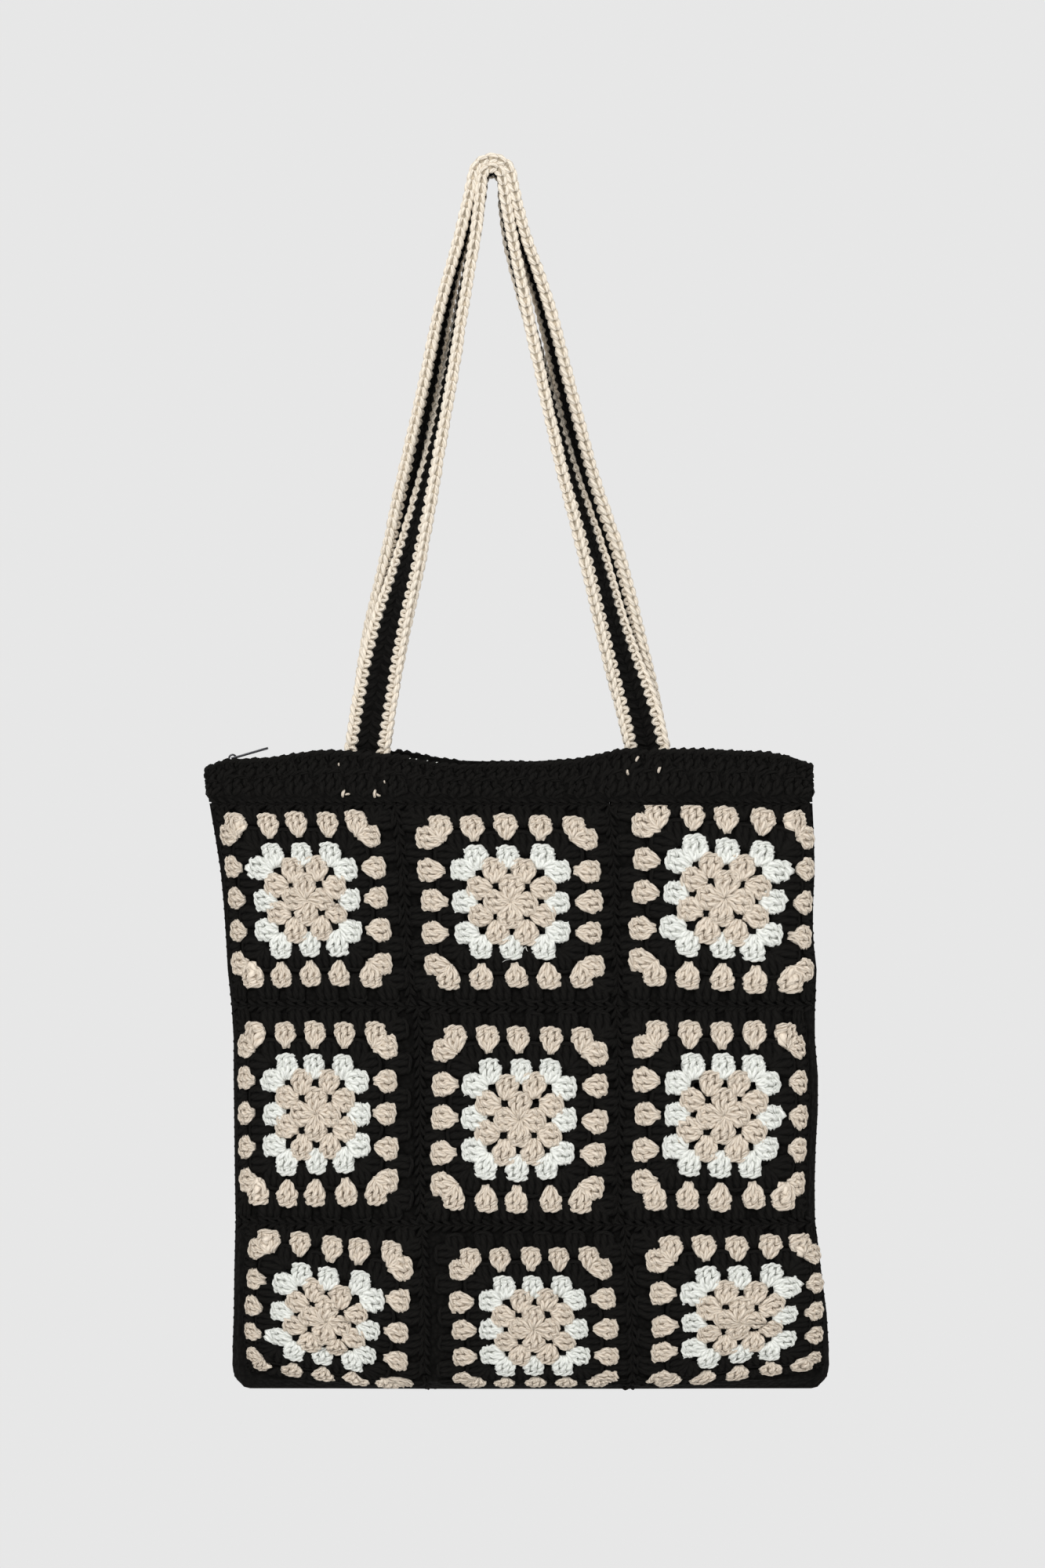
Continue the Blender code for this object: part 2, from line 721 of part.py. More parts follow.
def make_pull(finish, parts):
    """The zip pull: a flat tab with a slot for the crown, its origin on the pivot."""
    eye = PULL_EYE_WIDTH / 2
    half = PULL_WIDTH / 2
    end = PULL_LENGTH - PULL_EYE_BAR / 2
    outer = [(-PULL_EYE_BAR / 2, -eye), (PULL_EYE_BAR + PULL_SLOT_LENGTH, -eye), (end * 0.55, -half)]
    rounding = [-math.pi / 2 + math.pi * step / 8 for step in range(9)]
    outer += [(end - half + half * math.cos(a), half * math.sin(a)) for a in rounding]
    outer += [(end * 0.55, half), (PULL_EYE_BAR + PULL_SLOT_LENGTH, eye), (-PULL_EYE_BAR / 2, eye)]
    near = PULL_EYE_BAR / 2
    far = near + PULL_SLOT_LENGTH
    slot = PULL_SLOT_WIDTH / 2
    hole = [(near, -slot), (far, -slot), (far, slot), (near, slot)]
    curve = bpy.data.curves.new("zip_pull", "CURVE")
    curve.dimensions = "2D"
    curve.fill_mode = "BOTH"
    curve.extrude = PULL_THICK / 2
    for outline_points in (outer, hole):
        spline = curve.splines.new("POLY")
        spline.use_cyclic_u = True
        spline.points.add(len(outline_points) - 1)
        for point, (x, y) in zip(spline.points, outline_points):
            point.co = (x, y, 0.0, 1.0)
    curve.materials.append(finish)
    pull = bpy.data.objects.new("zip_pull", curve)
    pull.location = slider_place() + Vector((0, 0, pivot_height()))
    pull.rotation_euler = (0.0, -math.radians(PULL_LIFT_DEG), 0.0)
    parts.objects.link(pull)
    return pull


def build():
    """Clear the scene and build the whole bag."""
    for old in list(bpy.data.objects):
        bpy.data.objects.remove(old)
    parts = bpy.data.collections.new("handbag")
    cutters = bpy.data.collections.new("handbag_cutters")
    bpy.context.scene.collection.children.link(parts)
    bpy.context.scene.collection.children.link(cutters)
    slab = seam_slab(cutters)
    for side in (-1, 1):
        face = "front" if side < 0 else "back"
        for row in range(len(ROWS)):
            for col in range(3):
                finish = material(f"{face}_yarn_r{row + 1}_c{col + 1}", BLACK_YARN, 0.95, 0.0)
                make_square(row, col, side, finish, parts, cutters, slab)
    make_band(material("band_yarn", BLACK_YARN, 0.95, 0.0), parts)
    make_seam(material("seam_yarn", BLACK_YARN, 0.95, 0.0), parts)
    for strap in ("front", "back"):
        make_strap(strap, material(f"{strap}_strap_yarn", CREAM_YARN, 0.95, 0.0), parts)
    for side in (-1, 1):
        make_tape(side, material("tape_cloth", BLACK_YARN, 0.85, 0.0), parts)
    make_chain(material("teeth", BLACK_YARN, 0.45, 0.0), parts)
    make_slider(material("slider_metal", GUNMETAL, 0.35, 1.0), parts, cutters)
    make_pull(material("pull_metal", GUNMETAL, 0.35, 1.0), parts)


build()
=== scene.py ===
"""Crochet shoulder bag: the yarn work, straps and zip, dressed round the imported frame."""

import logging
import math
import random
from dataclasses import dataclass, field
from enum import Enum

import bmesh
import bpy
import numpy as np
from mathutils import Matrix, Vector
from mathutils.bvhtree import BVHTree


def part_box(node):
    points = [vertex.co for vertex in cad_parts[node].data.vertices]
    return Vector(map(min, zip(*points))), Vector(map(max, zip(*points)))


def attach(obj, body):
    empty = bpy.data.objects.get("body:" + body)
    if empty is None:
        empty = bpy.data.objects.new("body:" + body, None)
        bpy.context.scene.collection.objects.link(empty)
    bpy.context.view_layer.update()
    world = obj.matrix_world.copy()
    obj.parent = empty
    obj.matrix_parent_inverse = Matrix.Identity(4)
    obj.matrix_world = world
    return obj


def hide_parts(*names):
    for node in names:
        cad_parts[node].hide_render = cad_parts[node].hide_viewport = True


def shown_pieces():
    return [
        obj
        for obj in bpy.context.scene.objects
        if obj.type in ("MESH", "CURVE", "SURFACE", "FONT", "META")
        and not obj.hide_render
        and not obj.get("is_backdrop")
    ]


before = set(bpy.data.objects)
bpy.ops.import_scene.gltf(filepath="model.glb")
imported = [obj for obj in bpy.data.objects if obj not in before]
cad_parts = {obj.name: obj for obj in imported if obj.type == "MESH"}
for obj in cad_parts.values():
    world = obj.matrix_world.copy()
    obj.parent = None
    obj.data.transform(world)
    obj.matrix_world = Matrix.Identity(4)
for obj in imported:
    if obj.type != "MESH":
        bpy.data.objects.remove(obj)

LOG = logging.getLogger("handbag")
MM = 0.001
Path = list[tuple[float, float, float]]


class Side(Enum):
    """The two faces of the bag, with the way each one looks along Y."""

    FRONT = -1
    BACK = 1


class Yarn(Enum):
    """The yarn colours, named as the record's material slots."""

    BLACK = "black_yarn"
    CREAM = "cream_yarn"
    WHITE = "white_yarn"


# Finishes


@dataclass(frozen=True)
class YarnFinish:
    """A soft plied yarn.

    The strand attribute holds each point's length along its strand and its
    place round it, so the plies and fibres run along every strand.
    """

    name: str
    light: tuple[float, float, float]
    deep: tuple[float, float, float]
    sheen: float
    relief: float
    plies: float = 3.0
    pitch: float = 0.0058
    roughness: float = 0.92
    specular: float = 0.2

    def build(self, fibres: bpy.types.NodeTree) -> bpy.types.Material:
        """Make the material.

        Args:
            fibres: the shared node group of plies and fibres.

        Returns:
            The finished material.
        """
        made = bpy.data.materials.new(self.name)
        made.use_nodes = True
        nodes, links = made.node_tree.nodes, made.node_tree.links
        shader = nodes["Principled BSDF"]
        shader.inputs["Roughness"].default_value = self.roughness
        shader.inputs["Specular IOR Level"].default_value = self.specular
        shader.inputs["Sheen Weight"].default_value = self.sheen
        shader.inputs["Sheen Roughness"].default_value = 0.45
        shader.inputs["Sheen Tint"].default_value = (*self.light, 1.0)
        group = nodes.new("ShaderNodeGroup")
        group.node_tree = fibres
        group.inputs["Plies"].default_value = self.plies
        group.inputs["Pitch"].default_value = self.pitch
        mix = nodes.new("ShaderNodeMix")
        mix.data_type = "RGBA"
        mix.inputs["A"].default_value = (*self.deep, 1.0)
        mix.inputs["B"].default_value = (*self.light, 1.0)
        links.new(group.outputs["Mask"], mix.inputs["Factor"])
        links.new(mix.outputs["Result"], shader.inputs["Base Color"])
        bump = nodes.new("ShaderNodeBump")
        bump.inputs["Strength"].default_value = self.relief
        bump.inputs["Distance"].default_value = 0.0009
        links.new(group.outputs["Height"], bump.inputs["Height"])
        links.new(bump.outputs["Normal"], shader.inputs["Normal"])
        return made


@dataclass(frozen=True)
class MetalFinish:
    """A plated metal with fine scratches and rubbed edges."""

    name: str
    colour: tuple[float, float, float]
    roughness: float

    def build(self) -> bpy.types.Material:
        """Make the material.

        Returns:
            The finished material.
        """
        made = bpy.data.materials.new(self.name)
        made.use_nodes = True
        nodes, links = made.node_tree.nodes, made.node_tree.links
        shader = nodes["Principled BSDF"]
        shader.inputs["Metallic"].default_value = 1.0
        place = nodes.new("ShaderNodeTexCoord")
        noise = nodes.new("ShaderNodeTexNoise")
        noise.inputs["Scale"].default_value = 900.0
        noise.inputs["Detail"].default_value = 4.0
        links.new(place.outputs["Object"], noise.inputs["Vector"])
        tone = nodes.new("ShaderNodeMix")
        tone.data_type = "RGBA"
        tone.inputs["A"].default_value = (*(c * 0.7 for c in self.colour), 1.0)
        tone.inputs["B"].default_value = (*(min(c * 1.4, 1.0) for c in self.colour), 1.0)
        links.new(noise.outputs["Fac"], tone.inputs["Factor"])
        links.new(tone.outputs["Result"], shader.inputs["Base Color"])
        rough = nodes.new("ShaderNodeMapRange")
        rough.inputs["To Min"].default_value = self.roughness * 0.7
        rough.inputs["To Max"].default_value = self.roughness * 1.3
        links.new(noise.outputs["Fac"], rough.inputs["Value"])
        links.new(rough.outputs["Result"], shader.inputs["Roughness"])
        bump = nodes.new("ShaderNodeBump")
        bump.inputs["Strength"].default_value = 0.15
        bump.inputs["Distance"].default_value = 0.0001
        links.new(noise.outputs["Fac"], bump.inputs["Height"])
        links.new(bump.outputs["Normal"], shader.inputs["Normal"])
        return made


@dataclass(frozen=True)
class TapeFinish:
    """A closely woven tape, ribbed across its length."""

    name: str
    colour: tuple[float, float, float]
    rib: float = 0.0009

    def build(self) -> bpy.types.Material:
        """Make the material.

        Returns:
            The finished material.
        """
        made = bpy.data.materials.new(self.name)
        made.use_nodes = True
        nodes, links = made.node_tree.nodes, made.node_tree.links
        shader = nodes["Principled BSDF"]
        shader.inputs["Roughness"].default_value = 0.8
        shader.inputs["Sheen Weight"].default_value = 0.2
        place = nodes.new("ShaderNodeTexCoord")
        wave = nodes.new("ShaderNodeTexWave")
        wave.bands_direction = "X"
        wave.inputs["Scale"].default_value = 0.314 / self.rib
        wave.inputs["Distortion"].default_value = 0.6
        wave.inputs["Detail Scale"].default_value = 3.0
        links.new(place.outputs["Object"], wave.inputs["Vector"])
        tone = nodes.new("ShaderNodeMix")
        tone.data_type = "RGBA"
        tone.inputs["A"].default_value = (*self.colour, 1.0)
        tone.inputs["B"].default_value = (*(min(c * 2.2, 1.0) for c in self.colour), 1.0)
        links.new(wave.outputs["Fac"], tone.inputs["Factor"])
        links.new(tone.outputs["Result"], shader.inputs["Base Color"])
        bump = nodes.new("ShaderNodeBump")
        bump.inputs["Strength"].default_value = 0.6
        bump.inputs["Distance"].default_value = 0.0003
        links.new(wave.outputs["Fac"], bump.inputs["Height"])
        links.new(bump.outputs["Normal"], shader.inputs["Normal"])
        return made


@dataclass(frozen=True)
class GroundFinish:
    """The close yarn that shows between the stitches."""

    name: str
    colour: tuple[float, float, float]
    loop: float = 0.0032

    def build(self) -> bpy.types.Material:
        """Make the material.

        Returns:
            The finished material.
        """
        made = bpy.data.materials.new(self.name)
        made.use_nodes = True
        nodes, links = made.node_tree.nodes, made.node_tree.links
        shader = nodes["Principled BSDF"]
        shader.inputs["Roughness"].default_value = 0.95
        shader.inputs["Specular IOR Level"].default_value = 0.08
        place = nodes.new("ShaderNodeTexCoord")
        loops = nodes.new("ShaderNodeTexVoronoi")
        loops.feature = "F1"
        loops.inputs["Scale"].default_value = 1.0 / self.loop
        links.new(place.outputs["Object"], loops.inputs["Vector"])
        tone = nodes.new("ShaderNodeMix")
        tone.data_type = "RGBA"
        tone.inputs["A"].default_value = (*self.colour, 1.0)
        tone.inputs["B"].default_value = (*(c * 0.3 for c in self.colour), 1.0)
        links.new(loops.outputs["Distance"], tone.inputs["Factor"])
        links.new(tone.outputs["Result"], shader.inputs["Base Color"])
        bump = nodes.new("ShaderNodeBump")
        bump.invert = True
        bump.inputs["Strength"].default_value = 1.0
        bump.inputs["Distance"].default_value = 0.0016
        links.new(loops.outputs["Distance"], bump.inputs["Height"])
        links.new(bump.outputs["Normal"], shader.inputs["Normal"])
        return made


def fibre_group() -> bpy.types.NodeTree:
    """Build the shared node group of twisted plies and fine fibres.

    Returns:
        A group with inputs Plies and Pitch and outputs Mask and Height.
    """
    tree = bpy.data.node_groups.new("yarn_fibres", "ShaderNodeTree")
    face = tree.interface
    face.new_socket("Plies", in_out="INPUT", socket_type="NodeSocketFloat")
    face.new_socket("Pitch", in_out="INPUT", socket_type="NodeSocketFloat")
    face.new_socket("Mask", in_out="OUTPUT", socket_type="NodeSocketFloat")
    face.new_socket("Height", in_out="OUTPUT", socket_type="NodeSocketFloat")
    nodes, links = tree.nodes, tree.links
    given = nodes.new("NodeGroupInput")
    result = nodes.new("NodeGroupOutput")

    def math_node(kind: str, first: object, second: object = None) -> bpy.types.NodeSocket:
        """Add a Math node and give its result."""
        node = nodes.new("ShaderNodeMath")
        node.operation = kind
        for socket, value in zip(node.inputs, (first, second)):
            if isinstance(value, (int, float)):
                socket.default_value = value
            elif value is not None:
                links.new(value, socket)
        return node.outputs[0]

    strand = nodes.new("ShaderNodeAttribute")
    strand.attribute_name = "strand"
    split = nodes.new("ShaderNodeSeparateXYZ")
    links.new(strand.outputs["Vector"], split.inputs["Vector"])
    angle = math_node("ARCTAN2", split.outputs["Z"], split.outputs["Y"])
    turns = math_node("MULTIPLY", angle, given.outputs["Plies"])
    run = math_node("MULTIPLY", math_node("DIVIDE", split.outputs["X"], given.outputs["Pitch"]), math.tau)
    ridge = math_node("SINE", math_node("MULTIPLY", math_node("ADD", turns, run), 0.5))
    ply = math_node("POWER", math_node("ABSOLUTE", ridge), 0.6)
    stretch = nodes.new("ShaderNodeMapping")
    stretch.inputs["Scale"].default_value = (520.0, 2600.0, 2600.0)
    links.new(strand.outputs["Vector"], stretch.inputs["Vector"])
    fine = nodes.new("ShaderNodeTexNoise")
    fine.inputs["Scale"].default_value = 1.0
    fine.inputs["Detail"].default_value = 3.0
    fine.inputs["Roughness"].default_value = 0.65
    links.new(stretch.outputs["Vector"], fine.inputs["Vector"])
    place = nodes.new("ShaderNodeTexCoord")
    broad = nodes.new("ShaderNodeTexNoise")
    broad.inputs["Scale"].default_value = 260.0
    broad.inputs["Detail"].default_value = 2.0
    links.new(place.outputs["Object"], broad.inputs["Vector"])
    height = math_node(
        "ADD", math_node("MULTIPLY", ply, 0.8), math_node("MULTIPLY", fine.outputs["Fac"], 0.8)
    )
    tint = math_node("MULTIPLY_ADD", ply, 0.35)
    tint.node.inputs[2].default_value = 0.12
    tone = math_node("ADD", tint, math_node("MULTIPLY", fine.outputs["Fac"], 0.55))
    mask = math_node("ADD", tone, math_node("MULTIPLY", broad.outputs["Fac"], 0.25))
    mask.node.use_clamp = True
    links.new(mask, result.inputs["Mask"])
    links.new(height, result.inputs["Height"])
    return tree


class Finishes:
    """Every material of the bag, built once."""

    def __init__(self) -> None:
        """Build the finishes."""
        fibres = fibre_group()
        black = YarnFinish("black_yarn", (0.0090, 0.0083, 0.0073), (0.0020, 0.0019, 0.0017), 0.012, 1.0, specular=0.10)
        cream = YarnFinish("cream_yarn", (0.90, 0.80, 0.675), (0.52, 0.42, 0.32), 0.05, 1.0)
        strap = YarnFinish("strap_cream_yarn", (0.97, 0.88, 0.75), (0.72, 0.62, 0.49), 0.05, 0.9)
        white = YarnFinish("white_yarn", (0.92, 0.93, 0.88), (0.62, 0.64, 0.60), 0.05, 0.8)
        self.yarns = {
            Yarn.BLACK: black.build(fibres),
            Yarn.CREAM: cream.build(fibres),
            Yarn.WHITE: white.build(fibres),
        }
        self.strap_cream = strap.build(fibres)
        self.black_ground = GroundFinish("black_ground", (0.0072, 0.0067, 0.0060)).build()
        self.cream_ground = GroundFinish("cream_ground", (0.72, 0.62, 0.48)).build()
        self.tape = TapeFinish("zip_tape_cloth", (0.006, 0.006, 0.006)).build()
        self.teeth = MetalFinish("zip_coil", (0.02, 0.02, 0.022), 0.45).build()
        self.metal = MetalFinish("gunmetal_plating", (0.06, 0.06, 0.065), 0.3).build()


# Strands and stitches


class Stitch:
    """A small form of yarn strands, modelled flat.

    X runs across, Y along and Z out of the cloth, in metres. Each strand is a
    ring of edges extruded along its path.
    """

    def __init__(self, uneven: float = 0.0) -> None:
        """Start an empty form.

        Args:
            uneven: how much each strand's thickness varies, as a share.
        """
        self.form = bmesh.new()
        self.layer = self.form.verts.layers.float_vector.new("strand")
        self.run = 0.0
        self.uneven = uneven
        self.draw = random.Random(9)

    def strand(self, path: Path, radii: list[float], sides: int, steps: int) -> None:
        """Lay one strand.

        Args:
            path: points it passes through, in millimetres.
            radii: its radius at each point, in millimetres.
            sides: how many sides it has.
            steps: how many lengths it is made of.
        """
        spots, sizes = smooth_path(np.array(path) * MM, np.array(radii) * MM, steps)
        self.lay(spots, sizes, sides)

    def rope(self, path: Path, radii: list[float], sides: int, steps: int, turns: float, phase: float) -> None:
        """Lay two strands twisted round each other.

        Args:
            path: points of their middle line, in millimetres.
            radii: each strand's radius at each point, in millimetres.
            sides: how many sides each strand has.
            steps: how many lengths each is made of.
            turns: how many turns they make in all.
            phase: where round the middle line the first one starts, in radians.
        """
        spots, sizes = smooth_path(np.array(path) * MM, np.array(radii) * MM, steps)
        ways = np.gradient(spots, axis=0)
        ways /= np.linalg.norm(ways, axis=1, keepdims=True)
        across = np.cross(ways, (0.0, 0.0, 1.0))
        out = np.cross(across, ways)
        for start in (phase, phase + math.pi):
            angles = (start + math.tau * turns * np.linspace(0, 1, steps + 1))[:, None]
            aside = (across * np.cos(angles) + out * np.sin(angles)) * sizes[:, None] * 0.88
            self.lay(spots + aside, sizes, sides)

    def lay(self, spots: np.ndarray, sizes: np.ndarray, sides: int) -> None:
        """Extrude one strand along a run of points.

        Args:
            spots: the points, in metres.
            sizes: the strand's radius at each.
            sides: how many sides it has.
        """
        ways = np.gradient(spots, axis=0)
        sizes = sizes * [1.0 + self.uneven * self.draw.uniform(-1, 1) for _ in sizes]
        up = Vector((0.0, 0.0, 1.0))
        before = Matrix.Identity(4)
        ring: list[bmesh.types.BMEdge] = []
        corners: list[bmesh.types.BMVert] = []
        for step, (spot, way, size) in enumerate(zip(spots, ways, sizes)):
            way = Vector(way).normalized()
            if abs(way.dot(up)) > 0.95:
                up = Vector((1.0, 0.0, 0.0))
            across = up.cross(way).normalized()
            up = way.cross(across)
            turn = Matrix((across, up, way)).transposed().to_4x4()
            now = Matrix.Translation(Vector(spot)) @ turn @ Matrix.Scale(float(size), 4)
            if step == 0:
                corners = bmesh.ops.create_circle(self.form, segments=sides, radius=1.0, matrix=now)["verts"]
                ring = list({edge for corner in corners for edge in corner.link_edges})
                bmesh.ops.contextual_create(self.form, geom=ring)
            else:
                self.run += (Vector(spot) - Vector(spots[step - 1])).length
                made = bmesh.ops.extrude_edge_only(self.form, edges=ring)["geom"]
                corners = [part for part in made if isinstance(part, bmesh.types.BMVert)]
                kept = set(corners)
                ring = [
                    part
                    for part in made
                    if isinstance(part, bmesh.types.BMEdge) and kept.issuperset(part.verts)
                ]
                bmesh.ops.transform(self.form, matrix=now @ before.inverted(), verts=corners)
            for corner in corners:
                flat = now.inverted() @ corner.co
                corner[self.layer] = (self.run, flat.x * size, flat.y * size)
            before = now
        bmesh.ops.contextual_create(self.form, geom=ring)
        self.run += 0.013

    def finish(self) -> "StitchForm":
        """Close the form.

        Returns:
            The stitch as arrays, ready to be repeated.
        """
        bmesh.ops.recalc_face_normals(self.form, faces=self.form.faces)
        self.form.verts.index_update()
        co = np.array([corner.co for corner in self.form.verts])
        along = np.array([corner[self.layer] for corner in self.form.verts])
        faces = [[corner.index for corner in face.verts] for face in self.form.faces]
        self.form.free()
        return StitchForm(co, along, faces)


@dataclass
class StitchForm:
    """A finished stitch: its corners, their places on the strands, and its faces."""

    co: np.ndarray
    along: np.ndarray
    faces: list[list[int]]

    def flared(self, share: float, reach: float) -> "StitchForm":
        """Widen the foot.

        Args:
            share: how much wider the foot becomes.
            reach: how far up from the foot it is widened, in metres.

        Returns:
            The widened form.
        """
        spots = self.co.copy()
        spots[:, 0] *= 1.0 + (share - 1.0) * np.clip(1.0 - spots[:, 1] / reach, 0.0, 1.0)
        return StitchForm(spots, self.along, self.faces)


def smooth_path(points: np.ndarray, sizes: np.ndarray, steps: int) -> tuple[np.ndarray, np.ndarray]:
    """Run a smooth curve through points.

    Args:
        points: the points to pass through.
        sizes: a size at each point.
        steps: how many equal steps to take.

    Returns:
        The curve's points and the size at each.
    """
    count = len(points)
    if count == 2:
        share = np.linspace(0, 1, steps + 1)[:, None]
        return points[0] + (points[1] - points[0]) * share, np.interp(share[:, 0], (0, 1), sizes)
    slopes = np.gradient(points, axis=0)
    at = np.linspace(0, count - 1, steps + 1)
    cell = np.minimum(at.astype(int), count - 2)
    t = (at - cell)[:, None]
    start, end = points[cell], points[cell + 1]
    curve = (2 * t**3 - 3 * t**2 + 1) * start + (t**3 - 2 * t**2 + t) * slopes[cell]
    curve += (3 * t**2 - 2 * t**3) * end + (t**3 - t**2) * slopes[cell + 1]
    return curve, np.interp(at, np.arange(count), sizes)


class Work:
    """A piece of yarn work: many stitches joined in one mesh."""

    def __init__(self) -> None:
        """Start with no stitches."""
        self.parts: list[np.ndarray] = []
        self.alongs: list[np.ndarray] = []
        self.faces: list[list[int]] = []
        self.count = 0
        self.phase = random.Random(11)

    def add(self, stitch: StitchForm, spots: np.ndarray) -> None:
        """Add one stitch.

        Args:
            stitch: the stitch, for its faces and strands.
            spots: where its corners lie.
        """
        self.parts.append(spots)
        self.alongs.append(stitch.along + (self.phase.random(), 0.0, 0.0))
        self.faces += [[index + self.count for index in face] for face in stitch.faces]
        self.count += len(spots)

    def piece(self, name: str, finish: bpy.types.Material) -> bpy.types.Object:
        """Make the object.

        Args:
            name: the piece's name.
            finish: its material.

        Returns:
            The new object, at the origin.
        """
        mesh = bpy.data.meshes.new(name)
        mesh.from_pydata(np.concatenate(self.parts), [], self.faces)
        strand = mesh.attributes.new("strand", "FLOAT_VECTOR", "POINT")
        strand.data.foreach_set("vector", np.concatenate(self.alongs).astype(np.float32).ravel())
        mesh.materials.append(finish)
        mesh.shade_smooth()
        made = bpy.data.objects.new(name, mesh)
        bpy.context.scene.collection.objects.link(made)
        return made


# Forms that carry the stitches


class Surface:
    """A measured stretch of the bag's outer surface.

    A grid of points and outward normals, so that flat yarn work can be laid on
    it. X runs across and Y up, in metres, from the middle.
    """

    def __init__(self, points: np.ndarray, outward: Vector) -> None:
        """Keep the grid.

        Args:
            points: rows from the bottom up, each from left to right seen from outside.
            outward: a rough way out, to turn the normals by.
        """
        self.points = points
        across = np.gradient(points, axis=1)
        up = np.gradient(points, axis=0)
        normals = np.cross(across, up)
        normals /= np.linalg.norm(normals, axis=2, keepdims=True)
        if normals[len(points) // 2, points.shape[1] // 2] @ np.array(outward) < 0:
            normals = -normals
        self.normals = normals
        middle_row = points[points.shape[0] // 2]
        middle_column = points[:, points.shape[1] // 2]
        self.width = float(np.linalg.norm(np.diff(middle_row, axis=0), axis=1).sum())
        self.height = float(np.linalg.norm(np.diff(middle_column, axis=0), axis=1).sum())

    def lay(self, flat: np.ndarray) -> np.ndarray:
        """Lay flat points on the surface.

        Args:
            flat: points, X across and Y up from the middle, Z out.

        Returns:
            The points in the bag's frame.
        """
        rows, columns = self.points.shape[:2]
        x = (flat[:, 0] / self.width + 0.5) * (columns - 1)
        y = (flat[:, 1] / self.height + 0.5) * (rows - 1)
        i = np.clip(x.astype(int), 0, columns - 2)
        j = np.clip(y.astype(int), 0, rows - 2)
        u, v = (x - i)[:, None], (y - j)[:, None]

        def blend(grid: np.ndarray) -> np.ndarray:
            """Blend the four corners round each point."""
            low = grid[j, i] * (1 - u) + grid[j, i + 1] * u
            high = grid[j + 1, i] * (1 - u) + grid[j + 1, i + 1] * u
            return low * (1 - v) + high * v

        return blend(self.points) + blend(self.normals) * flat[:, 2:3]


class Ribbon:
    """A long narrow form: a middle line with a way across and a way out.

    Y runs along it in metres from its start, X across and Z out.
    """

    def __init__(self, middles: np.ndarray, acrosses: np.ndarray) -> None:
        """Keep the line.

        Args:
            middles: points of the middle line.
            acrosses: the way across at each.
        """
        steps = np.linalg.norm(np.diff(middles, axis=0), axis=1)
        self.lengths = np.concatenate([[0.0], np.cumsum(steps)])
        self.length = float(self.lengths[-1])
        self.middles = middles
        along = np.gradient(middles, self.lengths, axis=0)
        along /= np.linalg.norm(along, axis=1, keepdims=True)
        acrosses = acrosses - along * np.sum(acrosses * along, axis=1, keepdims=True)
        self.acrosses = acrosses / np.linalg.norm(acrosses, axis=1, keepdims=True)
        self.outs = np.cross(self.acrosses, along)

    def lay(self, flat: np.ndarray) -> np.ndarray:
        """Lay flat points along the ribbon.

        Args:
            flat: points, X across, Y along and Z out.

        Returns:
            The points in the bag's frame.
        """

        def at(values: np.ndarray) -> np.ndarray:
            """Read a row of vectors at each point's length."""
            return np.stack([np.interp(flat[:, 1], self.lengths, values[:, k]) for k in range(3)], axis=1)

        over = flat[:, 1] - np.clip(flat[:, 1], 0.0, self.length)
        along = np.cross(at(self.outs), at(self.acrosses))
        spots = at(self.middles) + at(self.acrosses) * flat[:, 0:1] + at(self.outs) * flat[:, 2:3]
        return spots + along * over[:, None]


def node_tree(node: str) -> BVHTree:
    """A search tree of a CAD node's faces.

    Args:
        node: the node's name.

    Returns:
        The tree, in the bag's frame.
    """
    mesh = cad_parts[node].data
    corners = [corner.co.copy() for corner in mesh.vertices]
    return BVHTree.FromPolygons(corners, [tuple(face.vertices) for face in mesh.polygons])


def eased(count: int) -> np.ndarray:
    """Shares from 0 to 1, close together at both ends."""
    return (1 - np.cos(np.linspace(0, math.pi, count))) / 2


def even_rows(points: np.ndarray, count: int) -> np.ndarray:
    """Space a line of points evenly along its length.

    Args:
        points: the line.
        count: how many points to give.

    Returns:
        The evenly spaced points.
    """
    steps = np.linalg.norm(np.diff(points, axis=0), axis=1)
    lengths = np.concatenate([[0.0], np.cumsum(steps)])
    at = np.linspace(0, lengths[-1], count)
    return np.stack([np.interp(at, lengths, points[:, k]) for k in range(3)], axis=1)


def place_stitch(stitch: StitchForm, x: float, y: float, turn: float, size: tuple[float, float, float]) -> np.ndarray:
    """Turn, scale and move a stitch in its flat plane.

    Args:
        stitch: the stitch.
        x: place across, in metres.
        y: place up or along, in metres.
        turn: turn in radians, anticlockwise.
        size: scale across, along and out.

    Returns:
        The stitch's corners.
    """
    co = stitch.co * size
    cos, sin = math.cos(turn), math.sin(turn)
    return np.stack([co[:, 0] * cos - co[:, 1] * sin + x, co[:, 0] * sin + co[:, 1] * cos + y, co[:, 2]], axis=1)


# Sub-assemblies


@dataclass
class Detail:
    """How many sides and steps the strands of a cluster have."""

    sides: int
    post_steps: int
    bar_steps: int
    twisted: bool = False
    wrapped: bool = False
    under_steps: int = 2


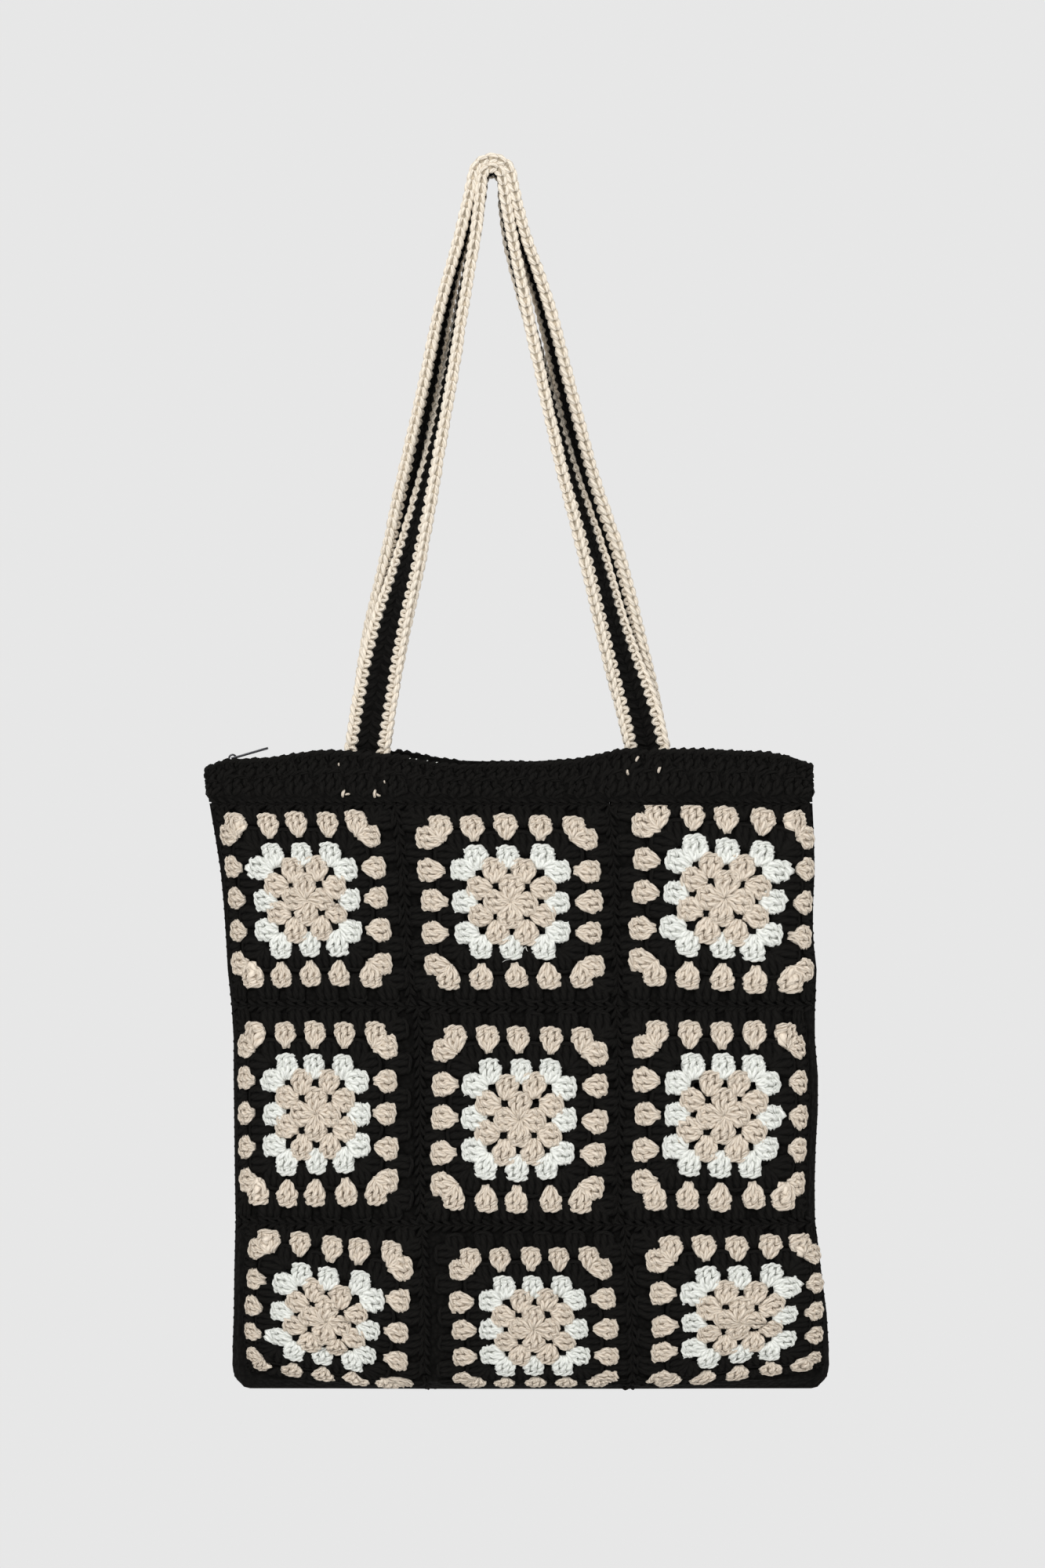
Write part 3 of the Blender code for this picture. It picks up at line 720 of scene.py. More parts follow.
@dataclass
class ClusterMaker:
    """A cluster of three tall stitches under one top chain, in millimetres."""

    length: float = 16.0
    base: float = 0.9
    low: float = 2.3
    belly: float = 4.15
    shoulder: float = 4.7
    top: float = 3.3
    strand: float = 1.3
    bar: float = 1.4
    padding: float = 2.4
    uneven: float = 0.08

    def build(self, detail: Detail, seed: int) -> StitchForm:
        """Model one cluster.

        Args:
            detail: how fine it is.
            seed: which of its slight variations it is.

        Returns:
            The cluster, its foot at the origin and its top at +Y.
        """
        draw = random.Random(seed)
        work = Stitch(self.uneven)
        for post in (-1, 0, 1):
            self.post(work, detail, post, draw)
        end = self.length
        tilt = draw.uniform(-0.35, 0.35)
        rise = draw.uniform(-0.6, 0.6)
        top_bar = [
            (-5.2, end * 0.72, -1.2),
            (-4.7, end * 0.87 + tilt, 0.4),
            (-1.6, end * 0.925 + tilt, 1.0),
            (1.6, end * 0.925 - tilt, 1.0),
            (4.6, end * 0.87 - tilt, 0.4),
            (5.3, end * 0.70 + rise, -1.2),
        ]
        shares = (0.6, 0.95, 1.0, 1.0, 0.95, 0.6)
        if not detail.twisted:
            work.strand(top_bar, [self.bar * share for share in shares], detail.sides, detail.bar_steps)
            return work.finish()
        sizes = [self.bar * 0.72 * share for share in shares]
        work.rope(top_bar, sizes, 4, detail.bar_steps, draw.uniform(1.6, 2.0), draw.uniform(0, math.tau))
        corner = [(3.6, end * 0.70, 0.0), (5.9, end * 0.56 + rise, 0.9), (4.4, end * 0.42 + rise, -0.8)]
        work.strand(corner, [0.8, 1.15, 0.7], 4, 4)
        return work.finish()

    def post(self, work: Stitch, detail: Detail, post: int, draw: random.Random) -> None:
        """Lay one tall stitch and the padding under it.

        Args:
            work: the form to add to.
            detail: how fine it is.
            post: -1, 0 or 1, from the left.
            draw: where its slight variations come from.
        """
        lean = draw.uniform(-0.25, 0.25)
        end = self.length
        belly = self.shoulder if post > 0 else self.belly
        path = [
            (post * self.base, 0.0, -1.2),
            (post * self.low + lean, end * 0.24, 0.0),
            (post * belly + lean, end * 0.50, 0.5 - 0.5 * abs(post)),
            (post * belly * 0.88 + lean, end * 0.68, 0.5 - 0.5 * abs(post)),
            (post * self.top, end * 0.88, 0.0),
        ]
        size = self.strand * (1.0 if detail.twisted else 1.75)
        sizes = [size * share for share in (0.75, 0.98, 1.08, 1.05, 0.85)]
        if not detail.twisted:
            work.strand(path, sizes, detail.sides, detail.post_steps)
            return
        turns = -draw.uniform(1.1, 1.4)
        work.rope(path, sizes, detail.sides, detail.post_steps, turns, draw.uniform(0, math.tau))
        under = [(x, y, z - 1.3) for x, y, z in path]
        work.strand(under, [self.padding * share for share in (0.45, 0.85, 1.05, 1.1, 1.1)], 4, detail.under_steps)
        if not detail.wrapped:
            return
        x, rise = post * belly * 0.93 + lean, end * (0.66 + 0.06 * draw.uniform(-1, 1))
        wrap = [(x - 2.1, rise - 0.9, 0.2), (x, rise, 2.4), (x + 2.1, rise + 1.1, 0.2)]
        work.strand(wrap, [0.7, 1.1, 0.7], 4, 3)


@dataclass
class GrannyPattern:
    """How the rounds of a granny square are set out, in metres.

    Each round has its clusters' feet on a square, one more to a side than
    the round inside it, and the two at a corner share one foot.
    """

    feet: tuple[float, ...] = (0.0003, 0.0107, 0.0187, 0.0264, 0.0352, 0.0424)
    corners: tuple[float, ...] = (0.0, 0.0079, 0.0166, 0.0258, 0.0355, 0.0446)
    fan: tuple[float, ...] = (0.0, 0.0, 0.09, 0.10, 0.06, 0.10)
    lengths: tuple[float, ...] = (0.91, 0.85, 0.85, 0.91, 0.88, 1.0)
    heights: tuple[float, ...] = (1.0, 1.0, 1.0, 0.55, 1.0, 0.5)
    lifts: tuple[float, ...] = (0.0, 0.0, 0.0, -0.0004, 0.0005, -0.0002)
    widths: tuple[float, ...] = (1.06, 1.03, 1.0, 1.0, 1.0, 1.0)
    flares: tuple[float, ...] = (0.8, 1.2, 1.4, 1.3, 0.9, 1.0)
    flare_reach: float = 0.0075
    rounds: tuple[Yarn, ...] = (Yarn.CREAM, Yarn.CREAM, Yarn.WHITE, Yarn.BLACK, Yarn.CREAM, Yarn.BLACK)
    light_middle: float = 0.0422

    def clusters(self) -> list[tuple[Yarn, int, float, float, float]]:
        """Set out the clusters.

        Returns:
            For each: its yarn, round, foot across and up, and turn.
        """
        made = []
        for level, yarn in enumerate(self.rounds):
            for quarter in range(4):
                turn = quarter * math.pi / 2
                cos, sin = math.cos(turn), math.sin(turn)
                for share in np.linspace(-1, 1, level + 1) if level else (0.0,):
                    x, y = share * self.corners[level], self.feet[level]
                    lean = -share * self.fan[level]
                    made.append((yarn, level, x * cos - y * sin, x * sin + y * cos, turn + lean))
        return made


@dataclass(frozen=True)
class Lie:
    """Where a square's outer light round lies in the front view, in millimetres, and its turn in degrees."""

    left: float
    right: float
    top: float
    bottom: float
    turn: float
    under: float = 0.0336


LIES = {
    (1, 1): Lie(-148.9, -68.4, -383.8, -471.2, 1.0),
    (1, 2): Lie(-33.8, 56.0, -385.2, -472.1, 0.0),
    (1, 3): Lie(89.2, 182.2, -380.6, -473.0, -5.0),
    (2, 1): Lie(-143.3, -62.0, -506.8, -598.3, 1.0),
    (2, 2): Lie(-27.3, 59.6, -509.1, -601.1, -1.0),
    (2, 3): Lie(90.2, 178.9, -506.8, -600.2, -1.0),
    (3, 1): Lie(-139.2, -55.5, -631.2, -711.2, -6.0, 0.0368),
    (3, 2): Lie(-16.6, 65.7, -636.3, -713.5, 1.0),
    (3, 3): Lie(100.8, 188.2, -631.2, -710.7, -1.0, 0.0372),
}


@dataclass
class GrannySquare:
    """One granny square, laid on the CAD square that it stands for."""

    row: int
    col: int
    side: Side
    pattern: GrannyPattern = field(default_factory=GrannyPattern)
    cells: int = 44
    walk: float = 0.00025
    inset: float = 0.998
    edge: float = 0.0006

    side_turn: tuple[tuple[float, float], ...] = (
        (0.0, 0.0),
        (0.0327, 0.0327),
        (0.0342, 0.0372),
        (0.0502, 0.0480),
        (0.0700, 0.0520),
    )
    bottom_turn: tuple[tuple[float, float], ...] = ((0.0, 0.0), (0.0325, 0.0275), (0.0342, 0.0284))

    @property
    def node(self) -> str:
        """The CAD node's name."""
        return f"{self.side.name.lower()}_square_r{self.row}_c{self.col}"

    def surface(self) -> Surface:
        """Measure the CAD square's outer surface with rays along Y.

        The four borders are found first, a smooth patch is spread between
        them, and a ray through each of its points gives the depth.

        Returns:
            The surface, evenly spaced.
        """
        tree = node_tree(self.node)
        way = Vector((0.0, -float(self.side.value), 0.0))

        def hit(spot: np.ndarray) -> Vector | None:
            """Where a ray through a place across and up meets the square."""
            return tree.ray_cast(Vector((spot[0], self.side.value * 0.2, spot[1])), way)[0]

        def border(spot: np.ndarray, inward: tuple[float, float]) -> np.ndarray:
            """The square's border near a place, found by walking inwards."""
            steps = np.array(inward) * self.walk
            outside = spot - 16 * steps
            for _ in range(64):
                if hit(outside + steps):
                    break
                outside = outside + steps
            else:
                return spot
            inside = outside + steps
            for _ in range(6):
                middle = (inside + outside) / 2
                if hit(middle):
                    inside = middle
                else:
                    outside = middle
            return inside

        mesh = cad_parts[self.node].data
        flat = np.array([(corner.co.x, corner.co.z) for corner in mesh.vertices])
        corners = {(a, b): flat[np.argmax(flat @ (a, b))] for a in (-1, 1) for b in (-1, 1)}
        shares = eased(self.cells * 2)

        def side_line(start: np.ndarray, end: np.ndarray, inward: tuple[float, float]) -> np.ndarray:
            """The border from one corner to the next."""
            return np.array([border(start + (end - start) * min(max(t, 0.006), 0.994), inward) for t in shares])

        left = side_line(corners[-1, -1], corners[-1, 1], (1, 0))
        right = side_line(corners[1, -1], corners[1, 1], (-1, 0))
        bottom = side_line(corners[-1, -1], corners[1, -1], (0, 1))
        top = side_line(corners[-1, 1], corners[1, 1], (0, -1))
        s, t = shares[None, :, None], shares[:, None, None]
        patch = (1 - s) * left[:, None] + s * right[:, None] + (1 - t) * bottom[None] + t * top[None]
        low = (1 - s) * (left[0] + bottom[0]) / 2 + s * (right[0] + bottom[-1]) / 2
        high = (1 - s) * (left[-1] + top[0]) / 2 + s * (right[-1] + top[-1]) / 2
        patch = patch - (1 - t) * low - t * high
        middle = patch.mean(axis=(0, 1))
        patch = middle + (patch - middle) * self.inset
        rows = []
        for line in patch:
            spots = [hit(spot) for spot in line]
            met = np.array([spot is not None for spot in spots])
            if met.sum() < 2:
                continue
            run = np.arange(len(line))
            depth = np.interp(run, run[met], [spot.y for spot in spots if spot is not None])
            row = np.stack([line[:, 0], depth, line[:, 1]], axis=1)
            rows.append(row[::-1] if self.side is Side.BACK else row)
        evened = np.array([even_rows(row, self.cells + 1) for row in rows])
        columns = [even_rows(evened[:, k], self.cells + 1) for k in range(self.cells + 1)]
        return Surface(np.stack(columns, axis=1), Vector((0.0, self.side.value, 0.0)))

    def build(self, finishes: Finishes, forms: dict[Yarn, list[StitchForm]], seed: int) -> Surface:
        """Crochet the square.

        Args:
            finishes: the bag's materials.
            forms: the clusters to choose from, by yarn.
            seed: start of its slight variations.

        Returns:
            The measured surface.
        """
        draw = random.Random(seed)
        surface = self.surface()
        (shift_x, scale_x), (shift_y, scale_y) = self.spread(surface)
        works = {yarn: Work() for yarn in Yarn}
        tilt = math.radians(LIES[self.row, self.col].turn) * -self.side.value
        edge_x, edge_y = surface.width / 2 - self.edge, surface.height / 2 - self.edge
        for yarn, level, x, y, turn in self.pattern.clusters():
            ease = 1.0 - 0.55 * max(level - 3, 0) / 2
            spin = tilt * ease
            cos, sin = math.cos(spin), math.sin(spin)
            x, y = x * cos - y * sin, x * sin + y * cos
            x += draw.uniform(-0.0005, 0.0005)
            y += draw.uniform(-0.0005, 0.0005)
            lean = draw.uniform(-0.09, 0.09)
            grow = draw.uniform(0.96, 1.04)
            length = self.pattern.lengths[level]
            choice = draw.choice(forms[yarn]).flared(self.pattern.flares[level], self.pattern.flare_reach)
            size = (grow * self.pattern.widths[level], length * grow, self.pattern.heights[level])
            flat = place_stitch(choice, x, y, turn + spin + lean, size)
            flat[:, 0] = flat[:, 0] * scale_x + shift_x
            flat[:, 1] = flat[:, 1] * scale_y + shift_y
            self.wrap(flat, (shift_x, scale_x), (shift_y, scale_y))
            flat[:, 0] = np.clip(flat[:, 0], -edge_x, edge_x)
            flat[:, 1] = np.clip(flat[:, 1], -edge_y, edge_y)
            flat[:, 2] += self.pattern.lifts[level]
            works[yarn].add(choice, surface.lay(flat))
        for yarn, work in works.items():
            piece = work.piece(f"{self.node}_{yarn.name.lower()}", finishes.yarns[yarn])
            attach(piece, "bag")
            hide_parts(self.node)
        self.ground(finishes)
        return surface

    def wrap(self, flat: np.ndarray, across: tuple[float, float], up: tuple[float, float]) -> None:
        """Draw the outer rounds in where the square turns over the bag's side or bottom.

        Args:
            flat: the points to move, across and up on the surface.
            across: the pattern's shift and scale across.
            up: its shift and scale up.
        """
        outer = {1: -1, 2: 0, 3: 1}[self.col] * -self.side.value
        turns = [(0, outer, across, self.side_turn)] if outer else []
        under = LIES[self.row, self.col].under
        bottom = (*self.bottom_turn, (0.0502, under), (0.0700, under + 0.0014))
        turns += [(1, -1, up, bottom)] if self.row == 3 else []
        for axis, way, (shift, scale), drawn in turns:
            before, after = np.array(drawn).T
            out = (flat[:, axis] - shift) * way / scale
            flat[:, axis] = shift + way * scale * np.where(out > 0, np.interp(out, before, after), out)

    def spread(self, surface: Surface) -> tuple[tuple[float, float], tuple[float, float]]:
        """Find how the flat pattern is shifted and stretched to lie as in the photograph.

        Args:
            surface: the measured surface.

        Returns:
            The shift and the scale, across and then up.
        """
        lie = LIES[self.row, self.col]
        middle = self.cells // 2
        found = []
        for line, axis, size, limits in (
            (surface.points[middle], 0, surface.width, (lie.left, lie.right)),
            (surface.points[:, middle], 2, surface.height, (lie.bottom, lie.top)),
        ):
            places = np.linspace(-size / 2, size / 2, len(line))
            order = np.argsort(line[:, axis])
            ends = sorted(np.interp(np.array(limits) * MM, line[order, axis], places[order]))
            found.append(((ends[0] + ends[1]) / 2, (ends[1] - ends[0]) / (2 * self.pattern.light_middle)))
        return found[0], found[1]

    def ground(self, finishes: Finishes) -> None:
        """Make the close black ground behind the stitches, with the same gaps."""
        made = copy_node(self.node, f"{self.node}_ground")
        sink = Matrix.Translation((0.0, -self.side.value * 0.0016, 0.0))
        made.data.transform(sink)
        made.data.materials.append(finishes.black_ground)
        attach(made, "bag")
        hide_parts(self.node)


def copy_node(node: str, name: str) -> bpy.types.Object:
    """Copy a CAD node's solid with its loose triangles merged.

    Args:
        node: the node's name.
        name: the new piece's name.

    Returns:
        The new object.
    """
    form = bmesh.new()
    form.from_mesh(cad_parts[node].data)
    bmesh.ops.remove_doubles(form, verts=form.verts, dist=0.000005)
    mesh = bpy.data.meshes.new(name)
    form.to_mesh(mesh)
    form.free()
    made = bpy.data.objects.new(name, mesh)
    bpy.context.scene.collection.objects.link(made)
    return made


@dataclass
class Body:
    """The eighteen squares of the bag's front and back."""

    fine: Detail = field(default_factory=lambda: Detail(5, 8, 11, True, True, 3))
    plain: Detail = field(default_factory=lambda: Detail(4, 5, 7, True))
    dark: Detail = field(default_factory=lambda: Detail(4, 4, 7))
    surfaces: dict[str, Surface] = field(default_factory=dict)

    def build(self, finishes: Finishes) -> None:
        """Crochet both faces.

        Args:
            finishes: the bag's materials.
        """
        maker = ClusterMaker()
        dark = [maker.build(self.dark, seed) for seed in (21, 22)]
        for side, detail in ((Side.FRONT, self.fine), (Side.BACK, self.plain)):
            light = [maker.build(detail, seed) for seed in (1, 2, 3, 4, 5)]
            forms = {Yarn.CREAM: light, Yarn.WHITE: light, Yarn.BLACK: dark}
            for row in range(3):
                for col in range(3):
                    square = GrannySquare(row + 1, col + 1, side)
                    seed = 100 * row + 10 * col + side.value
                    self.surfaces[square.node] = square.build(finishes, forms, seed)
                    LOG.info("%s: crocheted", square.node)


@dataclass
class Strap:
    """One shoulder strap: a black middle between cream loops and braided edges."""

    name: str
    pitch: float = 0.0056
    core_half: float = 0.0068
    ground_thick: float = 0.0026
    slices: int = 30
    bend_slices: int = 10
    peg_radius: float = 0.0035

    def route(self) -> Ribbon:
        """Find the strap's middle line by cutting its CAD solid into slices.

        Returns:
            The ribbon from the left end to the right end.
        """
        low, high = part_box(self.name)
        bend = -self.peg_radius
        heights = np.linspace(low.z + 0.0006, bend - 0.002, self.slices)
        cuts = [(Vector((0, 0, z)), Vector((0, 0, 1)), Vector((-1, 0, 0))) for z in heights]
        centre = Vector((0.0, 0.0, bend))
        for angle in np.linspace(math.pi, 0.0, self.bend_slices):
            way = Vector((math.cos(angle), 0.0, math.sin(angle)))
            cuts.append((centre, Vector((-way.z, 0.0, way.x)), way))
        cuts += [(Vector((0, 0, z)), Vector((0, 0, 1)), Vector((1, 0, 0))) for z in heights[::-1]]
        middles, acrosses = [], []
        before = None
        for centre, normal, way in cuts:
            middle, across = self.slice(centre, normal, way)
            if before is not None and across.dot(before) < 0:
                across = -across
            before = across
            middles.append(middle)
            acrosses.append(across)
        if acrosses[0].x < 0:
            acrosses = [-across for across in acrosses]
        return Ribbon(np.array(middles), np.array(acrosses))

    def slice(self, centre: Vector, normal: Vector, way: Vector) -> tuple[Vector, Vector]:
        """Cut the CAD strap with a plane and measure the cut.

        Args:
            centre: a point of the plane.
            normal: the plane's normal.
            way: which side of the centre to look at.

        Returns:
            The cut's middle and the way along its long side.
        """
        form = bmesh.new()
        form.from_mesh(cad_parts[self.name].data)
        geom = form.verts[:] + form.edges[:] + form.faces[:]
        cut = bmesh.ops.bisect_plane(form, geom=geom, plane_co=centre, plane_no=normal)["geom_cut"]
        spots = [part.co.copy() for part in cut if isinstance(part, bmesh.types.BMVert)]
        form.free()
        spots = [spot for spot in spots if (spot - centre).dot(way) > 0]
        first = Vector((0.0, 1.0, 0.0))
        second = normal.cross(first).normalized()
        flat = np.array([((spot - centre).dot(first), (spot - centre).dot(second)) for spot in spots])
        best = (math.inf, 0.0, None)
        for turn in np.linspace(0, math.pi, 181)[:-1]:
            long_way = np.array((math.cos(turn), math.sin(turn)))
            short_way = np.array((-long_way[1], long_way[0]))
            short = flat @ short_way
            if np.ptp(short) < best[0]:
                long = flat @ long_way
                middle = long_way * (long.min() + long.max()) / 2 + short_way * (short.min() + short.max()) / 2
                best = (float(np.ptp(short)), turn, middle)
        _, turn, middle = best
        across = first * math.cos(turn) + second * math.sin(turn)
        return centre + first * middle[0] + second * middle[1], across

    def edge_stitch(self) -> StitchForm:
        """One link of the braided cream edges, on both edges and both faces."""
        work = Stitch()
        for edge in (-1, 1):
            for face in (-1, 1):
                path = [
                    (edge * 10.3, -0.6, face * 1.1),
                    (edge * 11.0, 1.6, face * 2.2),
                    (edge * 12.0, 4.4, face * 1.9),
                    (edge * 12.3, 7.0, face * 0.7),
                ]
                work.strand(path, [1.0, 1.55, 1.6, 1.0], 5, 4)
        return work.finish()

    def loop_stitch(self) -> StitchForm:
        """The cream loops that reach into the black middle, on both faces."""
        work = Stitch()
        for edge in (-1, 1):
            for face in (-1, 1):
                path = [
                    (edge * 10.4, 1.5, face * 1.4),
                    (edge * 8.4, 1.9, face * 2.2),
                    (edge * 6.7, 2.5, face * 1.7),
                    (edge * 6.6, 3.9, face * 1.7),
                    (edge * 8.2, 4.6, face * 2.2),
                    (edge * 10.4, 4.9, face * 1.4),
                ]
                work.strand(path, [1.0, 1.2, 1.2, 1.2, 1.25, 1.0], 4, 6)
        return work.finish()

    def core_stitch(self) -> StitchForm:
        """The black stitches of the middle, on both faces."""
        work = Stitch()
        for face in (-1, 1):
            for leg in (-1, 1):
                path = [
                    (leg * 6.9, 0.2, face * 0.7),
                    (leg * 3.6, 2.0, face * 1.6),
                    (leg * 0.4, 4.6, face * 1.0),
                ]
                work.strand(path, [1.4, 1.85, 1.2], 4, 3)
        return work.finish()

    def build(self, finishes: Finishes) -> None:
        """Crochet the strap.

        Args:
            finishes: the bag's materials.
        """
        ribbon = self.route()
        count = int(ribbon.length / self.pitch)
        step = ribbon.length / count
        draw = random.Random(5)
        edges, loops, core = self.edge_stitch(), self.loop_stitch(), self.core_stitch()
        cream, black = Work(), Work()
        for place in range(count):
            along = place * step
            grow = draw.uniform(0.95, 1.06)
            for work, stitch in ((cream, edges), (cream, loops), (black, core)):
                flat = place_stitch(stitch, 0.0, along, draw.uniform(-0.02, 0.02), (1.0, grow, grow))
                work.add(stitch, ribbon.lay(flat))
        pieces = (
            (cream.piece(f"{self.name}_cream", finishes.strap_cream), Yarn.CREAM),
            (black.piece(f"{self.name}_black", finishes.yarns[Yarn.BLACK]), Yarn.BLACK),
            (self.ground(ribbon, "core", -self.core_half, self.core_half, finishes.black_ground), Yarn.BLACK),
            (self.ground(ribbon, "edge_one", self.core_half, 0.0118, finishes.cream_ground), Yarn.CREAM),
            (self.ground(ribbon, "edge_two", -0.0118, -self.core_half, finishes.cream_ground), Yarn.CREAM),
        )
        for piece, yarn in pieces:
            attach(piece, "bag")
            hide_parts(self.name)

    def ground(
        self, ribbon: Ribbon, name: str, start: float, end: float, finish: bpy.types.Material
    ) -> bpy.types.Object:
        """Make the close ground under the stitches.

        Args:
            ribbon: the strap's line.
            name: which stretch of its width this is.
            start: one limit across.
            end: the other limit across.
            finish: its material.

        Returns:
            The new object.
        """
        form = bmesh.new()
        size = Matrix.Diagonal((end - start, ribbon.length, self.ground_thick, 1.0))
        middle = Matrix.Translation(((start + end) / 2, ribbon.length / 2, 0.0))
        bmesh.ops.create_cube(form, size=1.0, matrix=middle @ size)
        long = [edge for edge in form.edges if abs((edge.verts[0].co - edge.verts[1].co).y) > ribbon.length / 2]
        bmesh.ops.subdivide_edges(form, edges=long, cuts=int(ribbon.length / self.pitch), use_grid_fill=True)
        for corner, spot in zip(form.verts, ribbon.lay(np.array([corner.co for corner in form.verts]))):
            corner.co = spot
        bmesh.ops.recalc_face_normals(form, faces=form.faces)
        mesh = bpy.data.meshes.new(f"{self.name}_{name}")
        form.to_mesh(mesh)
        form.free()
        mesh.materials.append(finish)
        made = bpy.data.objects.new(f"{self.name}_{name}", mesh)
        bpy.context.scene.collection.objects.link(made)
        return made


@dataclass
class TopBand:
    """The black band round the mouth: two rows of clusters, short stitches and a looped rim."""

    stitch_width: float = 0.0056
    cluster_pitch: float = 0.0182
    cluster_rows: tuple[tuple[float, float], ...] = ((0.10, 0.76), (0.50, 0.66))
    cluster_width: float = 1.28
    flare: float = 1.9
    flare_reach: float = 0.009
    edge_share: float = 0.80
    cells: int = 90
    end_inset: float = 0.008
    end_cells: int = 5
    ring_rows: int = 9
    rim_drop: float = 0.0012
    rise_depth: float = 0.012
    rises: tuple[tuple[float, float], ...] = (
        (-0.168, 0.0022),
        (-0.155, 0.0014),
        (-0.145, 0.0),
        (-0.120, 0.0),
        (-0.104, 0.0006),
        (-0.060, 0.0006),
        (-0.054, 0.0016),
        (-0.046, 0.0),
        (-0.014, 0.0),
        (0.007, 0.0014),
        (0.028, 0.0024),
        (0.038, 0.0040),
        (0.060, 0.0046),
        (0.069, 0.0048),
        (0.079, 0.0032),
        (0.090, 0.0008),
        (0.170, 0.0009),
        (0.180, 0.0),
    )

    def raised(self, spots: np.ndarray) -> np.ndarray:
        """Raise the mouth a little where the bag's own weight doesn't pull it down.

        Args:
            spots: points of the band.

        Returns:
            The raised points.
        """
        places, rises = np.array(self.rises).T
        share = np.clip((spots[:, 2] + 0.362) / self.rise_depth, 0.0, 1.0)
        moved = spots.copy()
        moved[:, 2] += np.interp(spots[:, 0], places, rises) * share
        return moved

    def build(self, finishes: Finishes) -> Surface:
        """Crochet the band.

        Args:
            finishes: the bag's materials.

        Returns:
            The band's measured surface.
        """
        surface = self.ring()
        work = Work()
        draw = random.Random(31)
        made = [ClusterMaker().build(Detail(4, 6, 8, True), seed) for seed in (41, 42, 43)]
        clusters = [cluster.flared(self.flare, self.flare_reach) for cluster in made]
        count = int(surface.width / self.cluster_pitch)
        for row, (foot_share, length) in enumerate(self.cluster_rows):
            for place in range(count):
                x = (place + 0.5 * row + 0.25) * surface.width / count - surface.width / 2
                y = (foot_share - 0.5) * surface.height
                choice = draw.choice(clusters)
                size = (self.cluster_width * draw.uniform(0.96, 1.04), length, 0.8)
                flat = place_stitch(choice, x, y, draw.uniform(-0.06, 0.06), size)
                work.add(choice, self.raised(surface.lay(flat)))
        post, rim = self.post(), self.rim()
        count = int(surface.width / self.stitch_width)
        for place in range(count):
            x = place * surface.width / count - surface.width / 2
            y = (self.edge_share - 0.5) * surface.height
            flat = place_stitch(post, x, y, draw.uniform(-0.1, 0.1), (1.0, 1.0, 1.0))
            work.add(post, self.raised(surface.lay(flat)))
            y = 0.5 * surface.height - self.rim_drop
            size = (1.0, draw.uniform(0.85, 1.15), 1.0)
            work.add(rim, self.raised(surface.lay(place_stitch(rim, x, y, draw.uniform(-0.06, 0.06), size))))
        piece = work.piece("top_band_stitches", finishes.yarns[Yarn.BLACK])
        ground = copy_node("top_band", "top_band_ground")
        ground.data.materials.append(finishes.black_ground)
        corners = np.array([corner.co for corner in ground.data.vertices])
        ground.data.vertices.foreach_set("co", self.raised(corners).ravel())
        for made in (piece, ground):
            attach(made, "bag")
            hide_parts("top_band")
        return surface

    def ring(self) -> Surface:
        """Measure the band's outside with rays towards its middle line.

        Returns:
            The surface all round, from the left end by the front and back to the left end.
        """
        low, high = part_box("top_band")
        tree = node_tree("top_band")
        foot = low.z + 0.0002
        left, right = low.x + self.end_inset, high.x - self.end_inset
        rays = [(left, turn) for turn in np.linspace(-math.pi, -math.pi / 2, self.end_cells)]
        rays += [(x, -math.pi / 2) for x in np.linspace(left, right, self.cells)[1:-1]]
        rays += [(right, turn) for turn in np.linspace(-math.pi / 2, math.pi / 2, 2 * self.end_cells)]
        rays += [(x, math.pi / 2) for x in np.linspace(right, left, self.cells)[1:-1]]
        rays += [(left, turn) for turn in np.linspace(math.pi / 2, math.pi, self.end_cells)]

        def outer(x: float, turn: float, z: float) -> Vector | None:
            """Where a level ray from outside meets the band."""
            way = Vector((math.cos(turn), math.sin(turn), 0.0))
            return tree.ray_cast(Vector((x, 0.0, z)) + way * 0.1, -way, 0.1)[0]

        columns = []
        for x, turn in rays:
            inside, outside = foot, high.z + 0.001
            for _ in range(12):
                middle = (inside + outside) / 2
                if outer(x, turn, middle):
                    inside = middle
                else:
                    outside = middle
            heights = np.linspace(foot, inside - 0.0002, self.ring_rows)
            columns.append([outer(x, turn, z) or Vector((x, 0.0, z)) for z in heights])
        grid = np.array(columns).transpose(1, 0, 2)
        return Surface(np.array([even_rows(row, 4 * self.cells) for row in grid]), Vector((0, -1, 0)))

    def post(self) -> StitchForm:
        """One short upright stitch of two leaning strands."""
        work = Stitch(0.1)
        for leg in (-1, 1):
            path = [(leg * 0.6, 0.0, -0.5), (leg * 1.4, 2.0, 0.5), (leg * 1.6, 4.1, -0.2)]
            work.strand(path, [1.0, 1.5, 1.0], 4, 3)
        return work.finish()

    def rim(self) -> StitchForm:
        """One rounded loop of the rim."""
        work = Stitch(0.1)
        path = [(-4.0, -1.6, 0.4), (-1.5, 0.1, 0.9), (1.3, 0.35, 0.2), (3.8, -1.3, -1.2)]
        work.strand(path, [0.9, 1.5, 1.5, 1.0], 5, 5)
        return work.finish()


